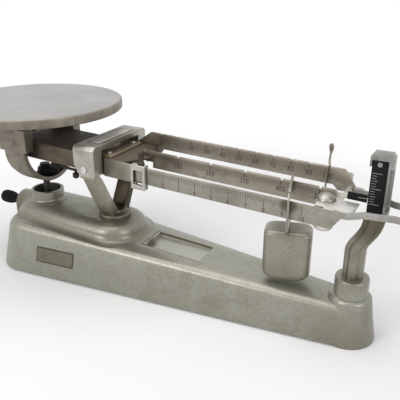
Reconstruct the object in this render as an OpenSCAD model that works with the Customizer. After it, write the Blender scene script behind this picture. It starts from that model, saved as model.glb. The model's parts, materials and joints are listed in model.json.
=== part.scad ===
// Triple beam balance, top loading, with a hanging poise on the middle beam.
// Millimetres, +Z up, +X towards the pointer, z = 0 on the table.
// The origin lies under the middle of the overall length; the fulcrum is at fulcrum_x.

/* [Lever] */
// Distance from the fulcrum to the platform knife edge
pan_arm = 80; // [70:1:90]
// Height of the fulcrum line above the table
fulcrum_z = 113.5; // [112:0.5:116]
// Angle of the beam on its lower stop, pointer down
rest_tilt = 2; // [0:0.25:2.5]
// Distance the loop reaches past the post
tip_over = 41.5; // [38:0.5:48]

/* [Platform] */
// Diameter of the platform
pan_d = 152.4; // [120:0.1:170]
// Height of the rolled rim of the platform
rim_h = 8.2; // [5:0.1:12]
// Sheet thickness of the platform
pan_t = 1.5; // [1:0.1:2.5]
// Height of the platform top above its knife edges
pan_rise = 37; // [33:0.5:42]

/* [Beams] */
// Width over the two outer beams
beam_w = 53; // [50:0.5:54]
// Sheet thickness of the channel and the beams
sheet_t = 1.5; // [1.2:0.1:2]
// Height of the channel top above the fulcrum line
sheet_h = 6; // [5:0.25:7]
// Depth of the channel flanges
flange_h = 15.3; // [12:0.1:16]
// Height of a graduated beam
strip_h = 13.7; // [12:0.1:15]
// Drop of the front beam top below the channel top
front_drop = 0.6; // [0:0.1:3]
// Rise of the middle beam top above the channel top
middle_rise = 4.6; // [2:0.1:6]
// Rise of the rear beam top above the channel top
rear_rise = 11.9; // [8:0.1:12.2]
// Distance from the fulcrum to the zero notch of the middle beam
zero_reach = 37.4; // [36:0.1:42]
// Distance between the large notches of the middle beam
notch_pitch = 29.7; // [25:0.1:30]
// Distance between the notches of the rear beam
rear_pitch = 14.83; // [12:0.01:15]
// Distance between the whole marks of the front beam
front_pitch = 14.13; // [12:0.01:14.2]

/* [Poises] */
// Place of the front rider, in whole marks from zero
front_reading = 0; // [0:0.1:8]
// Place of the hanging poise, in large notches from zero
middle_reading = 4.28; // [0:0.01:5]
// Place of the rear poise, in notches from zero
rear_reading = 10; // [0:1:10]
// Turn of the hanging poise about the vertical, as it hangs loose
poise_turn = 15; // [0:1:16]
// Width of the hanging weight
weight_w = 37; // [30:0.5:42]
// Height of the hanging weight
weight_h = 40; // [30:0.5:42]
// Depth of the hanging weight
weight_d = 24; // [18:0.5:28]

/* [Base] */
// Height of the base deck under the fulcrum
deck_z = 42; // [38:0.5:44]
// Fall of the deck for each millimetre towards the post
deck_fall = 0.048; // [0:0.002:0.06]
// Width of the base at its left end, at the bottom
base_w = 102; // [90:1:110]
// Radius of the left corners of the base
corner_r = 30; // [24:1:36]
// Side slope of the base, inset from bottom to top
side_slope = 8; // [4:0.5:10]
// Length of the base to the left of the platform rod
base_over = 32; // [31:0.5:38]
// Wall of the base casting
base_wall = 4; // [3:0.5:6]
// Height of the raised ridge above the table
ridge_z = 56.5; // [54:0.5:60]
// Half width of the flat top of the ridge
ridge_r = 17; // [16:0.5:19]

/* [Pillar and post] */
// Width of the fulcrum yoke along the beam
yoke_w = 21; // [19:0.5:24]
// Length of each fulcrum bearing
bearing_len = 6.7; // [6:0.1:8]
// Height of the yoke top above the table
yoke_z = 130.2; // [129:0.2:132]
// Distance from the last notch to the post column
post_gap = 30.6; // [28:0.2:33]
// Sideways step of the post arm
post_step = 10.5; // [8:0.5:12]
// Height of the top of the post arm
post_z = 103; // [102:0.5:104]
// Width of the graduated plate
scale_w = 10.8; // [9:0.1:12]
// Length of the graduated plate
scale_len = 38.6; // [33:0.2:39]

/* [Fits] */
// Gap between pieces that move past each other
run_gap = 0.4; // [0.3:0.05:0.6]
// Gap round a pin that turns
pin_gap = 0.06; // [0.03:0.01:0.1]

/* [Hidden] */
$fn = 48;
hull_fn = 32;

scale_end = zero_reach + 5 * notch_pitch;
post_reach = scale_end + post_gap;
tip_reach = post_reach + tip_over;
base_reach = pan_arm + base_over;
tip_x = tip_reach * cos(rest_tilt) + sheet_h * sin(rest_tilt);
pan_dx = pan_arm * cos(rest_tilt);
pan_dz = pan_arm * sin(rest_tilt);
fulcrum_x = (pan_dx + pan_d / 2 - tip_x) / 2;
pan_x = fulcrum_x - pan_dx;
pan_pivot_z = fulcrum_z + pan_dz;
post_x = fulcrum_x + post_reach;

strip_t = 1.2;
edge_y = beam_w / 2 - sheet_t;
front_top = sheet_h - front_drop;
middle_top = sheet_h + middle_rise;
rear_top = sheet_h + rear_rise;
front_zero = zero_reach + 4.4;
rear_zero = zero_reach - 1.8;

bearing_y = beam_w / 2 + 2;
yoke_span = 2 * (bearing_y + bearing_len + 2.5);
knife_bar_w = 8;
knife_len = yoke_span - 7.4;
pan_knife_len = beam_w + 13;
pan_knife_h = 3.2;

foot_lift = 2;
pad_r = 12;
stud_r = 3;
nut_w = 10;
screw_r = 1.5;
screw_head_r = 2.8;
rod_r = 3.15;
box_top = 17.7;
column_r = 21.4;
boss_r = 15;
boss_z = 67.2;
boss_bore_r = 12.9;
knob_z = 47.5;
knob_boss_r = 12;
spindle_r = 2;
recess_x = 64.5;
recess_len = 54;
recess_w = 27.5;
recess_depth = 6.5;

check_z = 26;
check_pin_r = 1.5;
link_t = 3;

// Height of the deck at a distance dx from the fulcrum
function deck_at(dx) = deck_z - deck_fall * dx;

// Points of an arc in a profile, from angle a to angle b
function arc(cx, cy, r, a, b, n = 6) = [for (i = [0:n]) [cx + r * cos(a + (b - a) * i / n),
    cy + r * sin(a + (b - a) * i / n)]];

module on_base() translate([fulcrum_x, 0, 0]) children();
module on_beam() translate([fulcrum_x, 0, fulcrum_z]) rotate([0, rest_tilt, 0]) children();
module on_pan() translate([pan_x, 0, pan_pivot_z]) children();
module both_sides() for (s = [-1, 1]) scale([1, s, 1]) children();

// Box from its low corner and its size
module box(low, size) translate(low) cube(size);

// Plate lying in the XZ plane, between two values of y
module side_plate(y0, y1) translate([0, y1, 0]) rotate([90, 0, 0]) linear_extrude(y1 - y0) children();

// Plate lying in the YZ plane, between two values of x
module cross_plate(x0, x1) translate([x0, 0, 0]) rotate([90, 0, 90]) linear_extrude(x1 - x0) children();

// Rounded corner peg of the casting: sloping side, rounded shoulder, flat top
module peg(r, top, low, slope, shoulder) rotate_extrude($fn = hull_fn)
    polygon(concat([[0, low], [r, low]], arc(r - slope - shoulder, top - shoulder, shoulder, 10, 90),
        [[0, top]]));

module casting_outer() hull() {
    for (s = [-1, 1]) translate([corner_r - base_reach, s * (base_w / 2 - corner_r), 0])
        peg(corner_r, deck_at(corner_r - base_reach), foot_lift, side_slope, 8);
    translate([post_reach, 0, 0]) peg(column_r, deck_at(post_reach), foot_lift, 4, 6);
}

module casting_inner() hull() {
    for (s = [-1, 1]) translate([corner_r - base_reach, s * (base_w / 2 - corner_r), 0])
        peg(corner_r - base_wall - 2, deck_at(corner_r - base_reach) - 2 * base_wall - 4, -1, side_slope, 6);
    translate([post_reach - 2 * column_r, 0, 0])
        peg(column_r - base_wall, deck_at(post_reach) - 2 * base_wall, -1, 4, 5);
}

module ridge_outer() hull() {
    for (dx = [-pan_dx, 0]) translate([dx, 0, 0]) rotate_extrude($fn = hull_fn)
        polygon(concat([[0, deck_z - 10], [ridge_r + 12, deck_z - 10]],
            arc(ridge_r, ridge_z - 12, 12, 0, 90, 7), [[0, ridge_z]]));
}

module ridge_inner() hull() {
    for (dx = [-pan_dx, 0]) translate([dx, 0, -1])
        cylinder(r = ridge_r + 3, h = ridge_z - 7, $fn = hull_fn);
}

// One piece casting: tapered box open below, raised ridge, platform boss, knob boss and column
module base_casting() color("#8f9488") on_base() difference() {
    union() {
        difference() {
            union() {
                casting_outer();
                ridge_outer();
            }
            casting_inner();
            ridge_inner();
        }
        platform_boss();
        knob_boss();
        column();
        foot_pads();
        pillar_seat();
        anchor_rib();
    }
    translate([-pan_dx, 0, ridge_z - 12]) cylinder(r = boss_bore_r, h = boss_z);
    spindle_hole();
    deck_recess();
    post_socket();
    pillar_hole();
    anchor_hole();
    nut_pocket();
}

module platform_boss() translate([-pan_dx, 0, ridge_z - 8]) rotate_extrude()
    polygon(concat([[boss_bore_r - 1, 0], [boss_r + 3.5, 0], [boss_r + 3.5, 8]],
        arc(boss_r + 3.5, 11.5, 3, 270, 180),
        arc(boss_r - 0.5, boss_z - ridge_z + 7, 1, 0, 90), [[boss_bore_r - 1, boss_z - ridge_z + 8]]));

module knob_boss() difference() {
    union() {
        translate([-base_reach, 0, knob_z]) rotate([0, 90, 0])
            cylinder(r = knob_boss_r, h = base_reach - pan_dx);
        box([-base_reach, -knob_boss_r, deck_z - 10],
            [base_reach - pan_dx, 2 * knob_boss_r, knob_z - deck_z + 10]);
    }
    translate([-pan_dx, 0, -1]) cylinder(r = boss_bore_r, h = ridge_z + 20);
    translate([-pan_dx - ridge_r + 1, -ridge_r, -1]) cube([ridge_r, 2 * ridge_r, ridge_z - 7]);
}

module spindle_hole() translate([-base_reach - 1, 0, knob_z]) rotate([0, 90, 0])
    cylinder(r = spindle_r + pin_gap, h = base_reach - pan_dx);

module column() translate([post_reach, 0, 0]) rotate_extrude() polygon(concat(
    [[0, 0], [column_r - 0.5, 0], [column_r, 0.5], [column_r - 4.6, 31]],
    arc(column_r - 8.6, 33.6, 3.6, 0, 90), [[12.8, 37.4], [12.8, 50.2], [12.3, 51.4], [0, 51.4]]));

module foot_pads() for (s = [-1, 1]) translate([corner_r - base_reach + 4, s * (base_w / 2 - pad_r - 3), 0])
    cylinder(r = pad_r, h = foot_lift + 6);

// Solid seat below the pedestal foot
module pillar_seat() translate([0, 0, ridge_z - 10]) cylinder(r = 9, h = 8);

// Ribs that carry the pin of the check link
module anchor_rib() for (s = [-1, 1]) scale([1, s, 1])
    box([-5, link_t / 2 + 5, check_z - 7], [10, ridge_r, ridge_z - check_z]);

module pillar_hole() translate([0, 0, ridge_z - 11]) cylinder(r = stud_r + pin_gap, h = 14);

module anchor_hole() translate([0, 12, check_z]) rotate([90, 0, 0]) cylinder(r = check_pin_r, h = 24);

// Square pocket for the travelling nut, open towards the platform boss
module nut_pocket() box([-pan_dx - boss_bore_r - 12, -nut_w / 2 - run_gap, knob_z - nut_w / 2 - run_gap],
    [13, nut_w + 2 * run_gap, nut_w + 2 * run_gap]);

module deck_recess() rotate([0, atan(deck_fall), 0])
    box([recess_x - recess_len / 2, -recess_w / 2, deck_z - recess_depth],
        [recess_len, recess_w, recess_depth + 5]);

module post_socket() translate([post_reach, 0, 0]) {
    translate([0, 0, 36]) cylinder(r = 5, h = 20);
    translate([0, 0, -1]) cylinder(r = stud_r + pin_gap, h = 40);
    translate([0, 0, -1]) cylinder(r = 6.5, h = 7);
}

// Centre line of the post arm, as a sideways step with height
function arm_shift(z) = let (t = max(0, min(1, (z - 78) / (post_z - 78)))) post_step * t * t * (3 - 2 * t);
function arm_outline(half, top) = concat([for (i = [0:14]) let (z = 51.4 + (top - 51.4) * i / 14)
    [arm_shift(z) - half, z]], [for (i = [14:-1:0]) let (z = 51.4 + (top - 51.4) * i / 14)
    [arm_shift(z) + half, z]]);

// V casting: round foot, two leaning arms and level bearing seats
module pedestal() color("#8f9488") on_base() difference() {
    union() {
        translate([0, 0, ridge_z]) rotate_extrude() polygon(concat([[0, 0], [14.5, 0]],
            arc(12.7, 1.8, 1.8, 0, 80, 4), arc(13.4, 7.4, 3.8, 260, 190, 4), [[0, 8]]));
        cross_plate(-7, 7) pedestal_outline();
    }
    translate([0, 0, ridge_z - 1]) cylinder(r = stud_r + pin_gap, h = 11);
}

bearing_low = fulcrum_z - 8;

module pedestal_outline() for (s = [-1, 1]) scale([s, 1]) polygon([[0, ridge_z + 1], [12, ridge_z + 1],
    [12.5, ridge_z + 4], [20.5, 76], [32, 100], [bearing_y + bearing_len, bearing_low - 4],
    [bearing_y + bearing_len, bearing_low], [beam_w / 2 + run_gap, bearing_low],
    [beam_w / 2 + run_gap, bearing_low - 3], [24, 99], [14, 80], [6.5, 66.5], [4.5, 64], [2, 62.8],
    [0, 62.5]]);

module pedestal_bolt() color("#55565a") on_base() union() {
    translate([0, 0, ridge_z - 14]) cylinder(r = 5, h = 4, $fn = 6);
    translate([0, 0, ridge_z - 10.5]) cylinder(r = stud_r, h = 19);
}

// Inverted U cap over the bearings, with pockets for the knife ends
module yoke_cover() color("#b9b7b0") on_base() difference() {
    intersection() {
        cross_plate(-yoke_w / 2, yoke_w / 2) yoke_outline();
        side_plate(-yoke_span, yoke_span) polygon([[-yoke_w / 2, yoke_z], [-yoke_w / 2, bearing_low + 8.5],
            [-yoke_w / 2 + 5.5, bearing_low - 1], [yoke_w / 2 - 1.5, bearing_low - 1],
            [yoke_w / 2, bearing_low + 0.5], [yoke_w / 2, yoke_z]]);
    }
    both_sides() box([-7 - run_gap, beam_w / 2 - 1, bearing_low - 2],
        [14 + 2 * run_gap, bearing_y + bearing_len - beam_w / 2 + 1, 16]);
    both_sides() translate([0, yoke_span / 2 + 1, bearing_low + 5]) rotate([90, 0, 0])
        cylinder(r = screw_r, h = 5);
    box([-4.5, -24, yoke_z - 0.4], [11, 48, 1]);
}

module yoke_outline() difference() {
    polygon(concat([[-yoke_span / 2, bearing_low - 1]], arc(-yoke_span / 2 + 4, yoke_z - 4, 4, 180, 90),
        arc(yoke_span / 2 - 4, yoke_z - 4, 4, 90, 0), [[yoke_span / 2, bearing_low - 1]]));
    translate([-beam_w / 2 - run_gap, bearing_low - 2])
        square([beam_w + 2 * run_gap, yoke_z - bearing_low - 2.6]);
}

module yoke_plate() color("#a9a49a") on_base() box([-4.5, -24, yoke_z - 0.4], [11, 48, 0.8]);

module yoke_screws() color("#c9c9c6") on_base() both_sides() translate([0, yoke_span / 2, bearing_low + 5])
    rotate([-90, 0, 0]) difference() {
        union() {
            cylinder(r = screw_head_r, h = 1.3);
            translate([0, 0, -5.5]) cylinder(r = screw_r, h = 6);
        }
        box([-3, -0.35, 0.7], [6, 0.7, 1]);
    }

// Bearing block with a V groove along the knife
module fulcrum_bearings() color("#6d3b2e") on_base() both_sides() difference() {
    box([-5, bearing_y, bearing_low], [10, bearing_len, 10]);
    translate([0, bearing_y - 1, fulcrum_z - pin_gap]) rotate([-90, 180, 0]) linear_extrude(bearing_len + 2)
        polygon([[0, 0], [8, 3.6], [-8, 3.6]]);
    translate([0, yoke_span / 2 + 1, bearing_low + 5]) rotate([90, 0, 0]) cylinder(r = screw_r, h = 7);
}

module post_arm() color("#8f9488") translate([post_x, 0, 0]) difference() {
    union() {
        side_plate(-4.4, 4.4) polygon(arm_outline(7.5, post_z));
        side_plate(-5.6, 5.6) polygon(arm_outline(4.4, post_z));
        side_plate(-7.5, 7.5) polygon(arm_outline(2.6, post_z));
        translate([0, 0, 37]) cylinder(r = 5 - pin_gap, h = 20);
    }
    translate([0, 0, 30]) cylinder(r = stud_r + pin_gap, h = 16);
}

module post_bolt() color("#55565a") translate([post_x, 0, 0]) union() {
    translate([0, 0, 2]) cylinder(r = 5, h = 4, $fn = 6);
    translate([0, 0, 5.9]) cylinder(r = stud_r, h = 39);
}

head_x = post_reach + post_step;
head_low = post_z;
plate_dx = head_x - 6.6;
plate_top = post_z + 2 + scale_len;
head_top = plate_top + 5.4;
plate_screw_dx = head_x - 1.2;
plate_screw_z = head_low + scale_len - 4;

// Channel behind the graduated plate, open on its right side, with a hood over the top
module head_frame() color("#b9b7b0") on_base() difference() {
    union() {
        box([plate_dx, 0.3, head_low], [head_x + hood_half - plate_dx, 6.2, head_top - 2 - head_low]);
        box([lip_dx, -2.5, head_low], [1.2, 3, head_top - 2 - head_low]);
        side_plate(-2.5, 6) hood_outline();
    }
    box([lip_dx + 1.2, -3, head_low + 4], [5, 8, scale_len - 8]);
    plate_screw_hole();
    both_stop_holes();
}

hood_half = 8;
lip_dx = plate_dx + scale_w + 0.4;

module hood_outline() polygon([[head_x - hood_half, head_top - 10], [head_x - hood_half, head_top - 2.6],
    [head_x - hood_half + 2, head_top], [head_x + hood_half - 2, head_top],
    [head_x + hood_half, head_top - 2.6], [head_x + hood_half, head_top - 10.5],
    [lip_dx + 1.2, head_top - 10.5], [lip_dx + 1.2, plate_top + 0.4],
    [plate_dx - 0.1, plate_top + 0.4], [plate_dx - 0.1, head_top - 10]]);

module plate_screw_hole() translate([plate_screw_dx, 4, plate_screw_z]) rotate([90, 0, 0])
    cylinder(r = 1, h = 6);

stop_dx = head_x - 1;
loop_low = 0.4;
loop_h = 5;
stop_r = 1.2;
lower_stop_z = fulcrum_z + loop_low - stop_dx * sin(rest_tilt) - stop_r - 0.15;
upper_stop_z = fulcrum_z + loop_low + loop_h + stop_dx * sin(rest_tilt) + stop_r + 0.35;

module both_stop_holes() for (z = [lower_stop_z, upper_stop_z]) translate([stop_dx, 7, z])
    rotate([90, 0, 0]) cylinder(r = stop_r, h = 5);

// Two pins that limit the travel of the loop
module stop_pins() color("#55565a") on_base() for (z = [lower_stop_z, upper_stop_z])
    translate([stop_dx, 21.5, z]) rotate([90, 0, 0]) cylinder(r = stop_r, h = 19.5);

module scale_plate() color("#1c1c1e") on_base() difference() {
    box([plate_dx, -1, post_z + 2], [scale_w, 1.3, scale_len]);
    plate_screw_hole();
}

module scale_screw() color("#c9c9c6") on_base() translate([plate_screw_dx, -1, plate_screw_z])
    rotate([90, 0, 0]) difference() {
        union() {
            cylinder(r = 1.7, h = 0.8);
            translate([0, 0, -4.2]) cylinder(r = 1, h = 4.4);
        }
        box([-2, -0.2, 0.5], [4, 0.4, 1]);
    }

anchor_y = link_t / 2 + run_gap;

// Bracket under the ridge that carries the check link
module check_anchor() color("#8d8a82") on_base() difference() {
    union() {
        box([-5, -6.5, check_z - 6], [10, 13, 6]);
        box([-5, -6.5, check_z], [10, 13, ridge_z - 14.5 - check_z]);
    }
    box([-6, -anchor_y, check_z - 7], [12, 2 * anchor_y, 14]);
    translate([0, 8, check_z]) rotate([90, 0, 0]) cylinder(r = check_pin_r, h = 16);
    translate([0, 0, ridge_z - 14.5 - 8]) cylinder(r = 5.5, h = 10);
}

module anchor_pin() color("#c9c9c6") on_base() translate([0, 9.5, check_z]) rotate([90, 0, 0])
    cylinder(r = check_pin_r, h = 19);

// Lower link that keeps the platform level, parallel to the beam
module check_link() color("#a9a49a") translate([fulcrum_x, 0, check_z]) rotate([0, rest_tilt, 0])
    side_plate(-link_t / 2, link_t / 2) difference() {
        union() {
            for (dx = [0, -pan_arm]) translate([dx, 0]) circle(r = 5);
            translate([-pan_arm, -3]) square([pan_arm, 6]);
        }
        for (dx = [0, -pan_arm]) translate([dx, 0]) circle(r = check_pin_r + pin_gap);
    }

knob_r = 6.4;

module zero_knob() color("#1c1c1e") on_base() translate([-base_reach - 6, 0, knob_z]) rotate([0, -90, 0])
    difference() {
        union() {
            translate([0, 0, run_gap - 6]) cylinder(r = 4.2, h = 7);
            rotate_extrude() polygon([[0, 0], [5.4, 0], [5.8, 1], [5.8, 11], [5, 12], [0, 12]]);
            translate([0, 0, 1]) linear_extrude(10) for (i = [0:17])
                rotate(i * 20) translate([5, -0.5]) square([knob_r - 5, 1]);
        }
        translate([0, 0, -8]) cylinder(r = spindle_r, h = 12);
    }

module zero_spindle() color("#a9a49a") on_base() translate([-base_reach - 10, 0, knob_z]) rotate([0, 90, 0])
    cylinder(r = spindle_r, h = base_reach - pan_dx - boss_bore_r + 8.8);

// Square nut that travels on the spindle inside the boss
module zero_nut() color("#b08d4a") on_base() translate([-pan_dx - boss_bore_r - 9, 0, knob_z])
    rotate([0, 90, 0]) difference() {
        translate([-nut_w / 2, -nut_w / 2, 0]) cube([nut_w, nut_w, 4]);
        translate([0, 0, -1]) cylinder(r = spindle_r + pin_gap, h = 6);
    }

bow_x = 11.5;
box_x = 15.5;
web_z = -38;
web_t = 3.6;

// Bow of the platform support: two bearing boxes, leaning straps and a level web
module pan_bow() color("#4a443d") on_pan() difference() {
    union() {
        cross_plate(-bow_x, bow_x) bow_outline();
        both_sides() box([-box_x, beam_w / 2 + run_gap, -2.3], [2 * box_x, 10 - run_gap, 20]);
    }
    translate([0, 0, web_z + web_t]) cylinder(r = 9.8, h = 6);
    both_sides() box([-6, beam_w / 2 + run_gap + 1.4, -3], [12, 6.6, 11]);
    both_sides() box([-3.6, beam_w / 2 - 2, -8.5], [7.2, 9.4, 9]);
    translate([0, 0, web_z - 1]) cylinder(r = rod_r, h = 5);
    both_sides() translate([0, beam_w / 2 + 5, box_top - 3]) cylinder(r = screw_r, h = 4);
}

// Points of a quarter ellipse below the boxes, from angle a to angle b
function bow_arc(half, top, deep, a, b) = [for (i = [0:9]) let (t = a + (b - a) * i / 9)
    [half * cos(t), top - deep * sin(t)]];

module bow_outline() for (s = [-1, 1]) scale([s, 1]) polygon(concat(
    bow_arc(beam_w / 2 + 9, -2.2, -web_z - 2.2, 0, 90),
    bow_arc(beam_w / 2 + 5.2, -2.2, -web_z - 2.2 - web_t, 90, 0)));

// Inverted V bearings that sit on the end knife
module pan_bearings() color("#6d3b2e") on_pan() both_sides() difference() {
    box([-4, beam_w / 2 + 2, -1.6], [8, 5.8, 9.6]);
    translate([0, beam_w / 2 + 1, pin_gap]) rotate([-90, 0, 0]) linear_extrude(9)
        polygon([[0, 0], [8, 4.6], [-8, 4.6]]);
}

rod_low = check_z - pan_pivot_z + pan_dz;

// Rod through the boss, with a fork for the check link
module check_rod() color("#3a3a3c") on_pan() difference() {
    union() {
        translate([0, 0, rod_low + 4]) cylinder(r = rod_r, h = web_z + 14 - rod_low - 4);
        translate([0, 0, rod_low - 6]) intersection() {
            cylinder(r = 6.5, h = 14);
            box([-6.5, -5, 0], [13, 10, 14]);
        }
    }
    box([-8, -link_t / 2 - run_gap, rod_low - 7], [16, link_t + 2 * run_gap, 7 + 5.6]);
    translate([0, 8, rod_low]) rotate([90, 0, 0]) cylinder(r = check_pin_r, h = 16);
}

module rod_pin() color("#c9c9c6") on_pan() translate([0, 5.4, rod_low]) rotate([90, 0, 0])
    cylinder(r = check_pin_r, h = 10.8);

module rod_nut() color("#1c1c1e") on_pan() translate([0, 0, web_z + web_t]) difference() {
    union() {
        cylinder(r = 9.5, h = 1.6);
        translate([0, 0, 1.5]) cylinder(r = 7.4, h = 5.5, $fn = 6);
        translate([0, 0, 6.9]) cylinder(r = 4.6, h = 3.6);
    }
    translate([0, 0, -1]) cylinder(r = rod_r, h = 14);
}

seat_z = pan_rise - pan_t - 0.1;

// Cross member that ties the two boxes and carries the platform stem
module pan_carrier() color("#6a665c") on_pan() difference() {
    union() {
        box([-9, -beam_w / 2 - 8, box_top], [18, beam_w + 16, 3]);
        box([-9, -beam_w / 2, box_top - 5.5], [18, beam_w, 5.6]);
        translate([0, 0, box_top + 2.9]) rotate_extrude() polygon([[0, 0], [12, 0], [9, 3],
            [8, seat_z - box_top - 3], [0, seat_z - box_top - 3]]);
    }
    both_sides() translate([0, beam_w / 2 + 5, box_top - 1]) cylinder(r = screw_r, h = 6);
}

module carrier_screws() color("#c9c9c6") on_pan() both_sides() translate([0, beam_w / 2 + 5, box_top + 3])
    difference() {
        union() {
            cylinder(r = screw_head_r, h = 1.6);
            translate([0, 0, -5]) cylinder(r = screw_r, h = 5.2);
        }
        box([-3, -0.35, 1], [6, 0.7, 1]);
    }

// Flat platform with a rolled rim and a ring that locates it on the stem
module platform() color("#b9b7b2") on_pan() translate([0, 0, pan_rise]) union() {
    rotate_extrude($fn = 96) polygon(concat([[0, -pan_t], [pan_d / 2 - pan_t, -pan_t],
        [pan_d / 2 - pan_t, 1.4 - rim_h], [pan_d / 2 - pan_t - 1.2, 0.9 - rim_h],
        [pan_d / 2 - pan_t - 0.6, -rim_h], [pan_d / 2 - 0.8, -rim_h],
        [pan_d / 2, 0.8 - rim_h]], arc(pan_d / 2 - 2, -2, 2, 0, 90), [[0, 0]]));
    translate([0, 0, -pan_t - 4]) difference() {
        cylinder(r = 12, h = 4.1);
        translate([0, 0, -1]) cylinder(r = 8.4, h = 5);
    }
}

chan_left = -pan_arm - 7;
chan_right = 30;

// Inverted U channel of the beam, with openings for the two knives
module beam_channel() color("#8d8a82") on_beam() difference() {
    union() {
        translate([0, 0, sheet_h - sheet_t]) linear_extrude(sheet_t) polygon([[chan_left, -edge_y],
            [chan_right, -edge_y], [43, -3], [43, 3], [chan_right, edge_y], [chan_left, edge_y]]);
        both_sides() box([chan_left, edge_y - sheet_t, sheet_h - flange_h],
            [chan_right - chan_left, sheet_t, flange_h]);
    }
    pan_knife_bar(beam_w);
    fulcrum_knife_bar(beam_w);
    translate([chan_left, 0, sheet_h - flange_h]) rotate([0, 45, 0])
        cube([6, 2 * beam_w, 6], center = true);
    clamp_holes();
}

clamp_dx = 11.2;
clamp_y = [7.5 - edge_y, edge_y - 7.5];

module clamp_holes() for (y = clamp_y) translate([clamp_dx, y, 0]) cylinder(r = 1.2, h = sheet_h + 5);

module fulcrum_knife_bar(l) rotate([90, 0, 0]) linear_extrude(l, center = true)
    polygon([[0, 0], [knife_bar_w / 2, 2.8], [knife_bar_w / 2, sheet_h - sheet_t],
        [-knife_bar_w / 2, sheet_h - sheet_t], [-knife_bar_w / 2, 2.8]]);

module pan_knife_bar(l) translate([-pan_arm, 0, 0]) rotate([90, 0, 0]) linear_extrude(l, center = true)
    polygon([[0, 0], [2.6, -pan_knife_h], [2.6, -2 * pan_knife_h], [-2.6, -2 * pan_knife_h],
        [-2.6, -pan_knife_h]]);

module fulcrum_knife() color("#a08f74") on_beam() fulcrum_knife_bar(knife_len);

module pan_knife() color("#a08f74") on_beam() pan_knife_bar(pan_knife_len);

// Clamp bar on the channel that draws the knife up against it
module knife_clamp() color("#a08f74") on_beam() difference() {
    box([-3, -edge_y + 2, sheet_h], [clamp_dx + 9, 2 * edge_y - 4, 1.6]);
    clamp_holes();
}

module knife_screws() color("#c9c9c6") on_beam() for (y = clamp_y) translate([clamp_dx, y, 0]) union() {
    translate([0, 0, sheet_h + 1.6]) cylinder(r = 2.2, h = 1.4);
    translate([0, 0, 2.6]) cylinder(r = 1.2, h = sheet_h - 0.6);
}

strip_left = yoke_w / 2 + 1.2;
front_right = scale_end + 17;
front_low = front_top - strip_h;

// Saw notches on the top of a beam
module notch_row(first, pitch, count, top, depth) for (i = [0:count]) translate([first + i * pitch, top])
    polygon([[0, -depth], [depth * 0.9, 1], [-depth * 0.9, 1]]);

// Front beam: lap on the channel, graduated strip, slanted end
module front_beam() color("#a9a49a") on_beam() side_plate(-beam_w / 2, -edge_y) union() {
    polygon([[38, front_low], [front_right, front_low], [front_right + 9, front_top], [38, front_top]]);
    polygon([[strip_left, sheet_h - flange_h], [36, sheet_h - flange_h], [39, front_low], [39, front_top],
        [36, sheet_h], [strip_left, sheet_h]]);
}

middle_low = middle_top - 14.6;
middle_end = scale_end + 12;

// Middle beam: deep notches, foot on the channel tongue
module middle_beam() color("#a9a49a") on_beam() union() {
    side_plate(-strip_t / 2, strip_t / 2) difference() {
        polygon([[33, sheet_h], [33, middle_top], [middle_end, middle_top],
            [middle_end, middle_low], [43, middle_low], [43, sheet_h]]);
        notch_row(zero_reach, notch_pitch, 5, middle_top, 2.2);
    }
    box([33, -strip_t / 2, sheet_h], [8, 8, strip_t]);
}

rear_low = rear_top - strip_h;
rear_right = scale_end + 11;

// Rear beam: raised strip with fine notches, lap behind the channel
module rear_beam() color("#a9a49a") on_beam() side_plate(edge_y, beam_w / 2) difference() {
    polygon([[strip_left, sheet_h - flange_h + 3], [chan_right, sheet_h - flange_h + 3],
        [chan_right + 8, rear_low], [plate_left, rear_low], [plate_left + 4, loop_low],
        [rear_right + 15, loop_low], [rear_right + 15, front_top], [rear_right + 9.4, front_top],
        [rear_right, rear_top], [25, rear_top], [strip_left, sheet_h + 2]]);
    notch_row(rear_zero, rear_pitch, 10, rear_top, 1.4);
}

// Sheet that ties the three beams at their right ends, slotted for the middle beam
module end_plate() color("#b9b7b0") on_beam() difference() {
    union() {
        translate([0, 0, front_top - strip_t]) linear_extrude(strip_t) polygon([[plate_left, 3 - edge_y],
            [plate_left + 7, 3 - edge_y], [plate_left + 7, -edge_y], [front_right + 1, -edge_y],
            [front_right + 1, 1.6 - edge_y], [front_right + 9, 1.6 - edge_y],
            [front_right + 13, 4.6 - edge_y], [front_right + 13, -4], [front_right + 1, -4],
            [front_right + 1, edge_y], [neck_dx, edge_y], [neck_dx, 2.4], [plate_left, 2.4]]);
        box([plate_left + 7, -edge_y, front_top - 6], [6, strip_t, 6]);
        box([neck_dx, edge_y - strip_t, loop_low], [3, strip_t, front_top - loop_low]);
    }
    translate([cup_dx, cup_y, -20]) cylinder(r = cup_r - 1, h = 30);
    box([plate_left - 1, -strip_t / 2, 0], [middle_end - plate_left + 1, strip_t, 10]);
}

plate_left = scale_end + 3;
neck_dx = scale_end + 15;
cup_dx = scale_end + 7.5;
cup_y = -8.3;
cup_r = 7.2;
cup_deep = 13.8;

// Closed cup under the end plate that holds the balancing shot
module calibration_cup() color("#a9a49a") on_beam() translate([cup_dx, cup_y, 0]) rotate_extrude() polygon([
    [0, -cup_deep], [cup_r - 2, -cup_deep], [cup_r, 2 - cup_deep], [cup_r, front_top - strip_t],
    [cup_r - 1, front_top - strip_t], [cup_r - 1, 2.5 - cup_deep], [0, 1.5 - cup_deep]]);

module cup_cap() color("#c9c7c0") on_beam() translate([cup_dx, cup_y, 0]) rotate_extrude() polygon(concat(
    [[0, front_top - 3], [cup_r - 1, front_top - 3], [cup_r - 1, front_top], [cup_r - 0.4, front_top]],
    arc(0, front_top - 2.6, cup_r + 0.4, 26.5, 90)));

// Loop round the post: two leaning arms joined by a round end
loop_r = 13;
loop_cx = tip_reach - loop_r;

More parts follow.
